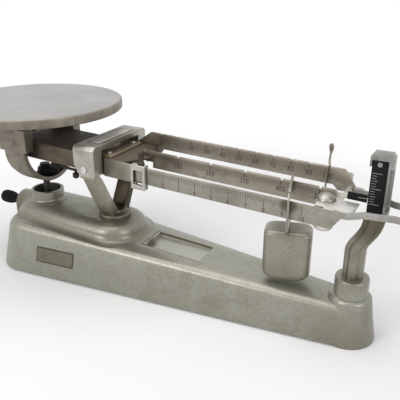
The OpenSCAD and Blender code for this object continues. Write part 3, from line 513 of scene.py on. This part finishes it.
# The arm keeps one section with a groove at the front and the back, and swings over in a soft double bend
arm_section = [(7.4, 0), (7.4, 2.8), (7.1, 3.6), (6.4, 4.2), (5.2, 4.5), (4.3, 4.4), (3.8, 4.8), (3.3, 6.0),
               (2.7, 7.0), (1.8, 7.4), (0, 7.5)]
half_section = arm_section + [(-x, y) for x, y in reversed(arm_section[:-1])]
arm_ring = half_section + [(x, -y) for x, y in reversed(half_section[1:-1])]
arm_foot, arm_head, arm_bend = 51.0, 103.0, 74.0
arm_shift, arm_swell, arm_steps = 10.5, 0.16, 48
arm_rings = []
for i in range(arm_steps + 1):
    height = arm_foot + (arm_head - arm_foot) * i / arm_steps
    share = max(0.0, (height - arm_bend) / (arm_head - arm_bend))
    shift = arm_shift * (share * share * (3 - 2 * share) + arm_swell * math.sin(math.pi * share) ** 2)
    arm_rings.append([((shift + x) * MM, y * MM, height * MM) for x, y in arm_ring])
arm_mesh = lofted_mesh("post_arm_casting", arm_rings, Matrix.Translation((post_axis, 0, 0)), angle=55)
stand_in("post_arm_casting", arm_mesh, "post_arm", arm_paint)
dark_steel = brushed_metal("dark_steel", (0.075, 0.06, 0.045), (0.045, 0.035, 0.027), (0.10, 0.06, 0.035),
                           lines_all_round, roughness=0.45, metallic=0.7)
for node in ("pedestal_bolt", "post_bolt", "stop_pins"):
    eased_copy(node, dark_steel, edge=0.25)

# Fulcrum cover: a satin aluminium casting over the V bearings, with a bare plate let into its top.
# A slotted screw on each side holds it to the bearing blocks.
cover_soil = [((fulcrum.x + 8 * MM, 0, 132 * MM), 34 * MM, 0.7),
              ((fulcrum.x - 4 * MM, -38 * MM, 128 * MM), 9 * MM, 0.5)]
cover_metal = brushed_metal("cover_aluminium", (0.49, 0.47, 0.435), (0.33, 0.31, 0.275),
                            (0.20, 0.165, 0.12), lines_along_z, roughness=0.36, soil_and_shade_spots=cover_soil)
eased_copy("yoke_cover", cover_metal, edge=0.5, angle=30, segments=3)
inset_metal = brushed_metal("inset_plate_metal", (0.47, 0.45, 0.42), (0.33, 0.31, 0.28),
                            (0.16, 0.13, 0.10), (500, 60, 500), roughness=0.45)
eased_copy("yoke_plate", inset_metal, edge=0.2)
bright_steel = brushed_metal("bright_screw_steel", (0.68, 0.67, 0.64), (0.50, 0.49, 0.46),
                             (0.30, 0.25, 0.18), (400, 400, 400), roughness=0.28, metallic=0.95)
eased_copy("yoke_screws", bright_steel, edge=0.25)

# Dirt in the seam round the inset plate, as a flat frame just over the cover
inset_low, inset_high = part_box("yoke_plate")
seam_width, seam_depth = 1.0 * MM, 0.3 * MM
seam_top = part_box("yoke_cover")[1].z + 0.1 * MM
seam_under = seam_top - seam_depth
seam_verts = []
for grow, z in ((seam_width, seam_under), (seam_width, seam_top), (0, seam_top), (0, seam_under)):
    low_x, low_y = inset_low.x - grow, inset_low.y - grow
    high_x, high_y = inset_high.x + grow, inset_high.y + grow
    seam_verts += [(low_x, low_y, z), (high_x, low_y, z), (high_x, high_y, z), (low_x, high_y, z)]
seam_faces = []
for level in range(4):
    lower, upper = level * 4, (level + 1) % 4 * 4
    for k in range(4):
        following = (k + 1) % 4
        seam_faces.append((lower + k, lower + following, upper + following, upper + k))
seam_mesh = bpy.data.meshes.new("inset_seam")
seam_mesh.from_pydata(seam_verts, [], seam_faces)
seam_dirt = brushed_metal("seam_dirt", (0.03, 0.025, 0.018), (0.015, 0.012, 0.009), (0.06, 0.05, 0.035),
                          lines_all_round, roughness=0.7, metallic=0.0)
finish_piece("inset_seam", seam_mesh, "base", seam_dirt)

# Bearings: V blocks of banded agate, ground and polished, two under the beam and two in the bow
agate, tree, place = new_material("polished_agate")
band_sizes = {"Vector": place, "Scale": 180.0, "Distortion": 6.0, "Detail": 3.0}
bands = add_node(tree, "TexWave", band_sizes).outputs[1]
stone = mix_colours(tree, bands, (0.16, 0.035, 0.02), (0.35, 0.14, 0.08))
finish_tree(tree, add_node(tree, "BsdfPrincipled", {"Base Color": stone, "Roughness": 0.15}))
for node in ("fulcrum_bearings", "pan_bearings"):
    eased_copy(node, agate, edge=0.15)

# Beam: a folded steel channel that carries both knife edges, and three strips riveted to it.
# The bare steel has darkened over the years, most of all on the channel; the channel's top faces are painted
# darker still, as painted shade under the platform.
channel_lines = (70, 900, 900)
channel_metal = brushed_metal("channel_steel", (0.13, 0.105, 0.078), (0.075, 0.056, 0.04),
                              (0.04, 0.027, 0.016), channel_lines, roughness=0.42)
channel_piece = eased_copy("beam_channel", channel_metal, edge=0.35)
# The channel's top faces take a darker, duller copy of its steel, as painted shade under the platform above
channel_top_shade = brushed_metal("channel_top_shade", (0.115, 0.088, 0.062), (0.065, 0.048, 0.033),
                            (0.035, 0.024, 0.015), channel_lines, roughness=0.6, metallic=0.35)
paint_faces(channel_piece, channel_top_shade, lambda face: face.normal.z > 0.9)
knife_metal = brushed_metal("knife_steel", (0.36, 0.29, 0.20), (0.25, 0.19, 0.13), (0.14, 0.10, 0.06),
                            (600, 60, 600), roughness=0.4)
for node in ("fulcrum_knife", "pan_knife", "knife_clamp"):
    eased_copy(node, knife_metal, edge=0.15)
for node in ("knife_screws", "beam_rivets", "carrier_screws", "rod_pin", "anchor_pin"):
    eased_copy(node, bright_steel, edge=0.2)
# The middle and rear beams are darker round the fulcrum and at one place further out on the rear beam
back_darkening = [((fulcrum.x + 38 * MM, 0, 116 * MM), 44 * MM, 0.85),
             ((fulcrum.x + 26 * MM, 24 * MM, 118 * MM), 40 * MM, 0.8),
             ((fulcrum.x + 118 * MM, 24 * MM, 118 * MM), 26 * MM, 0.25)]
# Dark places on the front beam: smudges near the fulcrum and along it, and at 172 mm a painted shadow of the
# hanging poise's plate
front_soil_and_shadow = [((fulcrum.x + 18 * MM, -27 * MM, 108 * MM), 26 * MM, 0.75),
              ((fulcrum.x + 60 * MM, -27 * MM, 106 * MM), 18 * MM, 0.3),
              ((fulcrum.x + 172 * MM, -27 * MM, 110 * MM), 9 * MM, 1.1),
              ((fulcrum.x + 120 * MM, -27 * MM, 104 * MM), 20 * MM, 0.25)]
front_metal = brushed_metal("front_beam_steel", (0.36, 0.335, 0.29), (0.26, 0.24, 0.205),
                            (0.13, 0.12, 0.085), lines_along_x, roughness=0.36, soil_and_shade_spots=front_soil_and_shadow)
back_metal = brushed_metal("back_beam_steel", (0.385, 0.348, 0.295), (0.28, 0.25, 0.205),
                           (0.13, 0.105, 0.075), lines_along_x, roughness=0.38, soil_and_shade_spots=back_darkening)
eased_copy("front_beam", front_metal, edge=0.2)
eased_copy("middle_beam", back_metal, edge=0.15)
eased_copy("rear_beam", back_metal, edge=0.15)

# Graduations: marks and numbers stamped into the front of the three beams and filled with black.
# The front beam reads tenths up to 10, the middle beam hundreds up to 500 and the rear beam tens up to 100.
beam_line = Vector(joints["front_slide"]["axis"]).normalized()
rest_tilt = math.atan2(-beam_line.z, beam_line.x)
beam_frame = Matrix.Translation(fulcrum) @ Matrix.Rotation(rest_tilt, 4, "Y")
mark_depth = 0.06 * MM


def satin_black(name, light, dark, roughness):
    material, tree, place = new_material(name)
    cloud = noise(tree, place, 120.0, 5.0, 0.7)
    sheen = remap(tree, cloud, (0.0, 1.0), (roughness, roughness + 0.15))
    finish_tree(tree, add_node(tree, "BsdfPrincipled", {
        "Base Color": mix_colours(tree, cloud, dark, light), "Roughness": sheen,
        "Normal": bumps(tree, cloud, 0.1, 0.2 * MM), "Specular IOR Level": 0.14}))
    return material


mark_ink = satin_black("mark_ink", (0.05, 0.045, 0.038), (0.018, 0.016, 0.013), 0.6)


# A row of marks that hang from the X axis, with longer and wider ones at regular steps
def build_mark_tree():
    tree = bpy.data.node_groups.new("graduation_marks", "GeometryNodeTree")
    face = tree.interface
    face.new_socket("Geometry", in_out="OUTPUT", socket_type="NodeSocketGeometry")
    for name, kind in (("Count", "Int"), ("Pitch", "Float"), ("Long Every", "Int"), ("Middle Every", "Int"),
                       ("Short", "Float"), ("Middle", "Float"), ("Long", "Float"), ("Width", "Float"),
                       ("Long Width", "Float"), ("Depth", "Float"), ("Ink", "Material")):
        face.new_socket(name, in_out="INPUT", socket_type="NodeSocket" + kind)

    def node(kind, links=None, **settings):
        made = tree.nodes.new(kind)
        for key, value in settings.items():
            setattr(made, key, value)
        for key, value in (links or {}).items():
            if isinstance(value, bpy.types.NodeSocket):
                tree.links.new(value, made.inputs[key])
            else:
                made.inputs[key].default_value = value
        return made

    def choose(test, usual, chosen):
        return node("GeometryNodeSwitch", {0: test, 1: usual, 2: chosen}, input_type="FLOAT").outputs[0]

    given = node("NodeGroupInput").outputs
    step = node("ShaderNodeCombineXYZ", {0: given["Pitch"]})
    row = node("GeometryNodeMeshLine", {"Count": given["Count"], "Offset": step.outputs[0]})
    index = node("GeometryNodeInputIndex").outputs[0]

    def is_every(number):
        rest = node("FunctionNodeIntegerMath", {0: index, 1: number}, operation="MODULO").outputs[0]
        return node("FunctionNodeCompare", {2: rest, 3: 0}, data_type="INT", operation="EQUAL").outputs[0]

    short = choose(is_every(given["Middle Every"]), given["Short"], given["Middle"])
    tall = choose(is_every(given["Long Every"]), short, given["Long"])
    wide = choose(is_every(given["Long Every"]), given["Width"], given["Long Width"])
    scale = node("ShaderNodeCombineXYZ", {0: wide, 1: given["Depth"], 2: tall})
    block = node("GeometryNodeMeshCube", {"Size": (1, 1, 1)})
    hung = node("GeometryNodeTransform", {"Geometry": block.outputs[0], "Translation": (0, 0, -0.5)})
    marks = node("GeometryNodeInstanceOnPoints", {"Points": row.outputs[0], "Instance": hung.outputs[0],
                                                  "Scale": scale.outputs[0]})
    real = node("GeometryNodeRealizeInstances", {0: marks.outputs[0]})
    inked = node("GeometryNodeSetMaterial", {"Geometry": real.outputs[0], "Material": given["Ink"]})
    node("NodeGroupOutput", {0: inked.outputs[0]})
    return tree


mark_tree = build_mark_tree()


def baked_mesh(name, tree, sizes):
    carrier = bpy.data.objects.new(name, bpy.data.meshes.new(name))
    scene.collection.objects.link(carrier)
    nodes = carrier.modifiers.new("nodes", "NODES")
    nodes.node_group = tree
    sockets = {item.name: item.identifier for item in tree.interface.items_tree if item.in_out == "INPUT"}
    for key, value in sizes.items():
        nodes[sockets[key]] = value
    carrier.update_tag()
    depsgraph = bpy.context.evaluated_depsgraph_get()
    mesh = bpy.data.meshes.new_from_object(carrier.evaluated_get(depsgraph))
    bpy.data.objects.remove(carrier)
    mesh.name = name
    return mesh


# Lengths are those of a short, a middle and a long mark, widths those of a usual and a long one, in mm
def add_marks(name, place, body, ink, count, pitch, long_every, middle_every, lengths, widths):
    mesh = baked_mesh(name, mark_tree, {
        "Count": count, "Pitch": pitch * MM, "Long Every": long_every, "Middle Every": middle_every,
        "Short": lengths[0] * MM, "Middle": lengths[1] * MM, "Long": lengths[2] * MM,
        "Width": widths[0] * MM, "Long Width": widths[1] * MM, "Depth": mark_depth, "Ink": ink})
    mesh.transform(place)
    finish_piece(name, mesh, body, ink)


def add_numbers(name, labels, place, height, narrow):
    work = bmesh.new()
    for text, x, z in labels:
        curve = bpy.data.curves.new(name, "FONT")
        curve.body = text
        curve.size = height * MM / 0.72
        curve.space_character = 1.12
        curve.align_x = "CENTER"
        curve.extrude = mark_depth / 2
        curve.resolution_u = 3
        carrier = bpy.data.objects.new(name, curve)
        scene.collection.objects.link(carrier)
        depsgraph = bpy.context.evaluated_depsgraph_get()
        mesh = bpy.data.meshes.new_from_object(carrier.evaluated_get(depsgraph))
        bpy.data.objects.remove(carrier)
        mesh.transform(Matrix.Translation((x * MM, 0, z * MM)) @ Matrix.Rotation(math.pi / 2, 4, "X")
                       @ Matrix.Diagonal((narrow, 1, 1, 1)))
        work.from_mesh(mesh)
    bmesh.ops.remove_doubles(work, verts=work.verts, dist=1e-7)
    mesh = bpy.data.meshes.new(name)
    work.to_mesh(mesh)
    work.free()
    mesh.transform(place)
    finish_piece(name, mesh, "beam", mark_ink)


# One beam's marks and numbers, from its zero along the strip, with marks_each marks to a number
def add_beam_scale(beam, face_y, zero_x, number_pitch, numbers, step, marks_each, marks_z, lengths, widths,
                   numbers_z, height, narrow):
    marks_place = beam_frame @ Matrix.Translation((zero_x * MM, face_y * MM, marks_z * MM))
    add_marks(beam + "_marks", marks_place, "beam", mark_ink, (numbers - 1) * marks_each + 1,
              number_pitch / marks_each, marks_each, max(1, marks_each // 2), lengths, widths)
    labels = [(str(step * n), zero_x + number_pitch * n, numbers_z) for n in range(numbers)]
    numbers_place = beam_frame @ Matrix.Translation((0, face_y * MM, 0))
    add_numbers(beam + "_numbers", labels, numbers_place, height, narrow)


add_beam_scale("front", face_y=-26.5, zero_x=40.4, number_pitch=14.13, numbers=11, step=1,
               marks_each=10, marks_z=4.1, lengths=(3.8, 5.2, 7.4), widths=(0.28, 0.42),
               numbers_z=-7.6, height=3.7, narrow=0.85)
add_beam_scale("middle", face_y=-0.6, zero_x=37.4, number_pitch=29.7, numbers=6, step=100,
               marks_each=1, marks_z=8.6, lengths=(3, 3, 3.2), widths=(0.55, 0.55),
               numbers_z=0.2, height=4.4, narrow=0.76)
add_beam_scale("rear", face_y=25.0, zero_x=35.6, number_pitch=14.83, numbers=11, step=10,
               marks_each=1, marks_z=16.2, lengths=(3, 3, 3), widths=(0.5, 0.5),
               numbers_z=8.2, height=4.2, narrow=0.85)

# End plate, loop and pointer: bright sheet at the end of the beams, with the cup for balancing shot.
# The loop runs round the post and stops the beam. The pointer tab is blackened and has a white line.
bright_sheet = brushed_metal("bright_sheet", (0.74, 0.725, 0.69), (0.56, 0.545, 0.51), (0.22, 0.19, 0.14),
                             lines_along_x, roughness=0.4, metallic=0.7)
for node in ("end_plate", "pointer_arm"):
    eased_copy(node, bright_sheet, edge=0.2)
loop_metal = brushed_metal("loop_metal", (0.42, 0.41, 0.385), (0.28, 0.27, 0.245), (0.14, 0.12, 0.085),
                           lines_along_x, roughness=0.4, metallic=0.7)
eased_copy("pointer_loop", loop_metal, edge=0.2)
cap_metal = brushed_metal("cap_metal", (0.42, 0.405, 0.37), (0.25, 0.235, 0.205), (0.10, 0.085, 0.06),
                          (400, 400, 400), roughness=0.34)
eased_copy("cup_cap", cap_metal, edge=0.2)


# A turned part from its outline of radius and height, in mm, about an upright line of the given frame
def turned_mesh(name, outline, place, stations=48):
    work = bmesh.new()
    rows = []
    for i in range(stations):
        turn = Matrix.Rotation(2 * math.pi * i / stations, 4, "Z")
        rows.append([work.verts.new(turn @ Vector((radius * MM, 0, z * MM))) for radius, z in outline])
    for row, following in zip(rows, rows[1:] + rows[:1]):
        for k in range(1, len(outline)):
            work.faces.new((row[k - 1], following[k - 1], following[k], row[k]))
    bmesh.ops.remove_doubles(work, verts=work.verts, dist=1e-7)
    bmesh.ops.recalc_face_normals(work, faces=work.faces)
    bmesh.ops.transform(work, matrix=place, verts=work.verts)
    mesh = bpy.data.meshes.new(name)
    smooth_mesh(work, mesh, 35)
    return mesh


cup_x, cup_y = 193.4, -8.3
cup_radius, cup_bore, cup_rim = 7.2, 6.2, 4.1
cup_outline = [(0, -17.8), (4.2, -17.8), (5.9, -17.2), (6.9, -16.0), (cup_radius, -14.2),
               (cup_radius, cup_rim), (cup_bore, cup_rim), (cup_bore, -14), (5.4, -15.8), (0, -16.4)]
cup_place = beam_frame @ Matrix.Translation((cup_x * MM, cup_y * MM, 0))
stand_in("shot_cup", turned_mesh("shot_cup", cup_outline, cup_place), "calibration_cup", bright_sheet)
black_paint = satin_black("satin_black_paint", (0.013, 0.013, 0.014), (0.006, 0.006, 0.007), 0.45)
for node in ("pointer_tab", "rod_nut"):
    eased_copy(node, black_paint, edge=0.12)
eased_copy("balance_wire", dark_steel, edge=0)
eased_copy("balance_nut", dark_steel, edge=0.2)

# Poises: the front rider is a bright frame on the front beam, the rear saddle carries a painted block.
# The hanging poise is a hammertone block on a thin steel plate that hooks over the middle beam.
rider_metal = brushed_metal("rider_metal", (0.52, 0.50, 0.46), (0.38, 0.36, 0.32), (0.22, 0.19, 0.14),
                            lines_all_round, roughness=0.3)
rider_piece = eased_copy("front_rider", rider_metal, edge=0.3)
rider_low, rider_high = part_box("front_rider")
rider_middle = (rider_low + rider_high) / 2
window_half = 4.4 * MM


# The inner sides of the rider's window are painted dark steel, as painted shade in the gap behind its frame
def is_in_rider_window(face):
    offset = face.center - rider_middle
    facing = offset.x * face.normal.x + offset.z * face.normal.z
    return abs(face.normal.y) < 0.8 and facing < 0 and abs(offset.x) < window_half


paint_faces(rider_piece, dark_steel, is_in_rider_window)
eased_copy("rider_knob", dark_steel, edge=0.25)
hanger_metal = brushed_metal("hanger_steel", (0.36, 0.335, 0.29), (0.22, 0.20, 0.165), (0.10, 0.08, 0.055),
                             (300, 300, 60), roughness=0.36)
eased_copy("poise_hanger", hanger_metal, edge=0.2)

# The hanging block: a rounded rectangle in plan, with softer edges below than above
poise_low, poise_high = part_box("poise_weight")
poise_middle = (poise_low + poise_high) / 2
# The block is darker over its top and at its lower front
poise_darkening = [((poise_middle.x, poise_middle.y, poise_high.z + 4 * MM), 19 * MM, 1.1),
              ((poise_middle.x, poise_low.y, poise_low.z), 24 * MM, 0.3)]
poise_paint = hammertone_paint("poise_hammertone", (0.31, 0.30, 0.245), (0.23, 0.22, 0.175),
                               (0.12, 0.10, 0.065), poise_darkening)
block_half_width, block_half_depth, block_height, block_top = 18.5, 12.0, 41.5, 80.5
block_corner, block_twist = 6.8, math.radians(15)
block_foot = block_top - block_height


def block_ring(inset_x, inset_y, level):
    half_x, half_y = block_half_width - inset_x, block_half_depth - inset_y
    corner = min(block_corner, half_x, half_y) - 0.01
    ring = []
    for quarter, (sign_x, sign_y) in enumerate(((1, 1), (-1, 1), (-1, -1), (1, -1))):
        for k in range(7):
            bend = (quarter + k / 6) * math.pi / 2
            ring.append(((sign_x * (half_x - corner) + corner * math.cos(bend)) * MM,
                         (sign_y * (half_y - corner) + corner * math.sin(bend)) * MM, level * MM))
    return ring


# One soft edge as rings, from the flat face at the level given round to the upright side
def soft_edge(steps, inset_x, inset_y, level, rise):
    rings = []
    for i in range(steps + 1):
        bend = i / steps * math.pi / 2
        inset = 1 - math.sin(bend)
        rings.append(block_ring(inset_x * inset, inset_y * inset, level + rise * (1 - math.cos(bend))))
    return rings


under_edge = soft_edge(8, inset_x=7.0, inset_y=2.2, level=block_foot, rise=7.0)
upper_edge = soft_edge(10, inset_x=4.2, inset_y=3.8, level=block_top, rise=-3.612)
block_rings = under_edge + upper_edge[::-1]
block_place = Matrix.Translation((poise_middle.x, poise_middle.y, 0)) @ Matrix.Rotation(block_twist, 4, "Z")
block_mesh = lofted_mesh("hanging_poise_block", block_rings, block_place, angle=50)
stand_in("hanging_poise_block", block_mesh, "poise_weight", poise_paint)

# The rear poise: a painted block behind the beam, on a saddle of sheet that ends in a twisted finger tab
rear_dx = 183.9
rear_half_length = 17
weight_section = [(26.9, 4.4), (39.4, 4.4), (39.4, 11.6), (26.9, 13.4)]
saddle_half = 0.55
saddle_outline = [(21.8, -7), (22.4, 18.6), (24.4, 20.8), (27.6, 20.8), (30.3, 18.2), (30.3, 4), (26.9, 4),
                  (26.9, 18), (24.6, 18), (24.6, -7)]


def across_beam(section, half_length):
    ends = (rear_dx - half_length, rear_dx + half_length)
    return [[(x * MM, y * MM, z * MM) for y, z in section] for x in ends]


rear_rings = across_beam(weight_section, rear_half_length)
rear_mesh = lofted_mesh("rear_poise_block", rear_rings, beam_frame, edge=1.6)
stand_in("rear_poise_block", rear_mesh, "rear_weight", hammertone)
saddle_mesh = lofted_mesh("rear_saddle", across_beam(saddle_outline, saddle_half), beam_frame, edge=0.15,
                          angle=40, segments=2)
stand_in("rear_saddle", saddle_mesh, "rear_hanger", hanger_metal)

# Each station of the tab: its height, its middle across the beam, its half width and its twist in degrees
tab_stations = [(20.6, 26.0, 1.8, 0), (22.0, 26.0, 1.5, 0), (25.0, 26.1, 1.35, 0), (27.5, 26.2, 1.5, 18),
                (29.5, 26.3, 1.9, 40), (31.8, 26.4, 2.3, 52), (33.6, 26.4, 2.3, 56), (34.9, 26.4, 1.7, 58),
                (35.5, 26.4, 0.8, 58)]
tab_rings = []
for height, middle_y, half_width, twist in tab_stations:
    station = Matrix.Translation((rear_dx, middle_y, height)) @ Matrix.Rotation(math.radians(twist), 4, "Z")
    tab_rings.append([(station @ Vector((face * saddle_half, side * half_width, 0))) * MM
                      for side, face in ((-1, -1), (1, -1), (1, 1), (-1, 1))])
tab_mesh = lofted_mesh("rear_finger_tab", tab_rings, beam_frame, edge=0.18, angle=40, segments=2)
finish_piece("rear_finger_tab", tab_mesh, "rear_poise", hanger_metal)

# Platform support: a darkened steel bow on the end knife, with the rod that goes down into the base.
# Its strap narrows toward the foot. The check link at the rod's foot keeps it upright.
bow_steel = brushed_metal("bow_steel", (0.25, 0.225, 0.185), (0.155, 0.135, 0.105), (0.055, 0.04, 0.028),
                          (120, 120, 500), roughness=0.42)
# The faces inside the bow below its middle are painted near black, as painted shade
bow_inside_shade = brushed_metal("bow_inside_shade", (0.03, 0.024, 0.018), (0.015, 0.012, 0.009), (0.02, 0.012, 0.008),
                           lines_all_round, roughness=0.65, metallic=0.3)
bow_piece = eased_copy("pan_bow", bow_steel, edge=0.5, segments=3)
bow_low, bow_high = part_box("pan_bow")
bow_middle = pan_pivot - Vector((0, 0, 4 * MM))
strap_top, strap_taper = 97 * MM, 7 * MM
for vertex in bow_piece.data.vertices:
    depth = min(1.0, max(0.0, (strap_top - vertex.co.z) / (strap_top - bow_low.z)))
    from_right = (bow_high.x - vertex.co.x) / (bow_high.x - bow_low.x)
    vertex.co.x += strap_taper * depth ** 0.8 * from_right


def is_inside_bow(face):
    inward = bow_middle - face.center
    inward.x = 0
    return face.normal.dot(inward.normalized()) > 0.6 and face.center.z < bow_middle.z


paint_faces(bow_piece, bow_inside_shade, is_inside_bow)
rod_steel = brushed_metal("rod_steel", (0.03, 0.027, 0.022), (0.016, 0.014, 0.011), (0.012, 0.009, 0.006),
                          (300, 300, 60), roughness=0.55, metallic=0.4)
for node in ("pan_carrier", "check_rod"):
    eased_copy(node, rod_steel, edge=0.5, segments=3)
for node in ("check_link", "check_anchor"):
    eased_copy(node, channel_metal, edge=0.3)

# Platform: a spun disc of stainless steel with a rolled rim, polished round and round.
# It lifts off its stem for cleaning, and its rim has browned where hands take hold of it.
platform_metal, tree, place = new_material("platform_stainless")
centred = offset_from(tree, place, (pan_pivot.x, 0, 0))
flat = add_node(tree, "VectorMath", {0: centred, 1: (1, 1, 0)}, operation="MULTIPLY").outputs[0]
radius = length_of(tree, flat)
ring_sizes = {"W": radius, "Scale": 1400.0, "Detail": 3.0}
rings = add_node(tree, "TexNoise", ring_sizes, noise_dimensions="1D").outputs[0]
shade = mix_numbers(tree, 0.4, noise(tree, place, 24.0, 5.0, 0.6), rings)
metal = mix_colours(tree, remap(tree, shade, (0.35, 0.65)), (0.42, 0.415, 0.405), (0.33, 0.32, 0.31))
rim_share = remap(tree, radius, (73.5 * MM, 76.2 * MM), (0.0, 0.85))
stretched = add_node(tree, "Mapping", {"Vector": place, "Scale": (42, 42, 14)}).outputs[0]
rim_wear = remap(tree, noise(tree, stretched, 1.0, 5.0, 0.7), (0.38, 0.64))
rim_brown = mix_colours(tree, rim_wear, (0.25, 0.218, 0.17), (0.135, 0.105, 0.07))
rubbed = mix_colours(tree, rim_share, metal, rim_brown)
smear_sizes = {"Vector": place, "Scale": 38.0, "Detail": 7.0, "Roughness": 0.75, "Distortion": 0.8}
smears = remap(tree, add_node(tree, "TexNoise", smear_sizes).outputs[0], (0.52, 0.72), (0.0, 0.32))
sheen = remap(tree, noise(tree, place, 110.0, 6.0, 0.75), (0.0, 1.0), (0.40, 0.56))
finish_tree(tree, add_node(tree, "BsdfPrincipled", {
    "Base Color": mix_colours(tree, smears, rubbed, (0.20, 0.175, 0.14)), "Metallic": 0.6,
    "Roughness": sheen, "Normal": bumps(tree, rings, 0.06, 0.2 * MM)}))
eased_copy("platform", platform_metal, edge=0)

# Head: a bright channel on the post that holds the graduated plate behind the pointer.
# Its face is black with white marks, and the long one in the middle is the balance point.
head_metal = brushed_metal("head_aluminium", (0.36, 0.35, 0.33), (0.20, 0.195, 0.18), (0.09, 0.08, 0.065),
                           lines_along_z, roughness=0.36)
eased_copy("head_frame", head_metal, edge=0.4, segments=3)
scale_low, scale_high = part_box("scale_plate")
scale_corners = [(scale_low.x, scale_low.z), (scale_high.x, scale_low.z), (scale_high.x, scale_high.z),
                 (scale_low.x, scale_high.z)]
blank_rings = [[(x, y, z) for x, z in scale_corners] for y in (scale_low.y, scale_high.y)]
blank_mesh = lofted_mesh("scale_blank", blank_rings, Matrix.Identity(4), edge=0.12)
stand_in("scale_blank", blank_mesh, "scale_plate", black_paint)
screw_lift = 3.2 * MM
screw_piece = eased_copy("scale_screw", head_metal, edge=0.2)
screw_piece.data.transform(Matrix.Translation((0, 0, screw_lift)))
mark_white = clouded_finish("mark_white", (0.16, 0.158, 0.15), (0.38, 0.37, 0.36), 900.0, 3.0, 0.5)
scale_pitch, scale_marks, scale_middle = 1.9, 13, 122.8
scale_start = (scale_middle - scale_marks // 2 * scale_pitch) * MM
scale_place = (Matrix.Translation((scale_low.x + 1.0 * MM, scale_low.y, scale_start))
               @ Matrix.Rotation(-math.pi / 2, 4, "Y"))
add_marks("scale_marks", scale_place, "base", mark_white, scale_marks, scale_pitch, long_every=6,
          middle_every=3, lengths=(3.2, 4.2, 6.8), widths=(0.34, 0.42))
tab_low, tab_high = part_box("pointer_tab")
line_place = (Matrix.Translation((tab_high.x - 0.3 * MM, tab_low.y, (tab_low.z + tab_high.z) / 2))
              @ Matrix.Rotation(math.pi / 2, 4, "Y"))
add_marks("pointer_line", line_place, "beam", mark_white, count=1, pitch=1, long_every=1,
          middle_every=1, lengths=(5, 5, 6), widths=(0.5, 0.5))

# Zero adjustment: a black ribbed knob on a spindle in the end of the base, with a square brass nut inside.
# Turning the knob moves the nut along the spindle.
knob_black = satin_black("knob_black", (0.010, 0.010, 0.009), (0.005, 0.005, 0.004), 0.62)
knob_low, knob_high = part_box("zero_knob")
knob_line = (knob_low + knob_high) / 2
knob_reach, knob_ribs, rib_depth = 11 * MM, 26, 0.09
knob_length = knob_high.x - knob_low.x + knob_reach
# Its outline as shares of the length from the outer end, each with the radius there in mm
knob_outline = [(0.0, 4.2), (0.02, 5.2), (0.07, 6.0), (0.16, 6.4), (0.34, 6.4), (0.46, 5.8), (0.56, 4.8),
                (0.62, 4.4), (1.0, 4.0)]
knob_rings = []
for share, radius in knob_outline:
    ring = []
    for k in range(2 * knob_ribs):
        turn = math.pi * k / knob_ribs
        reach = radius * (1 - rib_depth * (k % 2)) * MM
        ring.append((share * knob_length, reach * math.cos(turn), reach * math.sin(turn)))
    knob_rings.append(ring)
knob_place = Matrix.Translation((knob_low.x - knob_reach, knob_line.y, knob_line.z))
knob_mesh = lofted_mesh("ribbed_knob", knob_rings, knob_place, angle=50)
stand_in("ribbed_knob", knob_mesh, "zero_knob", knob_black)
eased_copy("zero_spindle", bright_steel, edge=0)
brass = clouded_finish("turned_brass", (0.50, 0.34, 0.12), (0.36, 0.23, 0.08), 300.0, 4.0, 0.35,
                       metallic=0.9)
eased_copy("zero_nut", brass, edge=0.2)
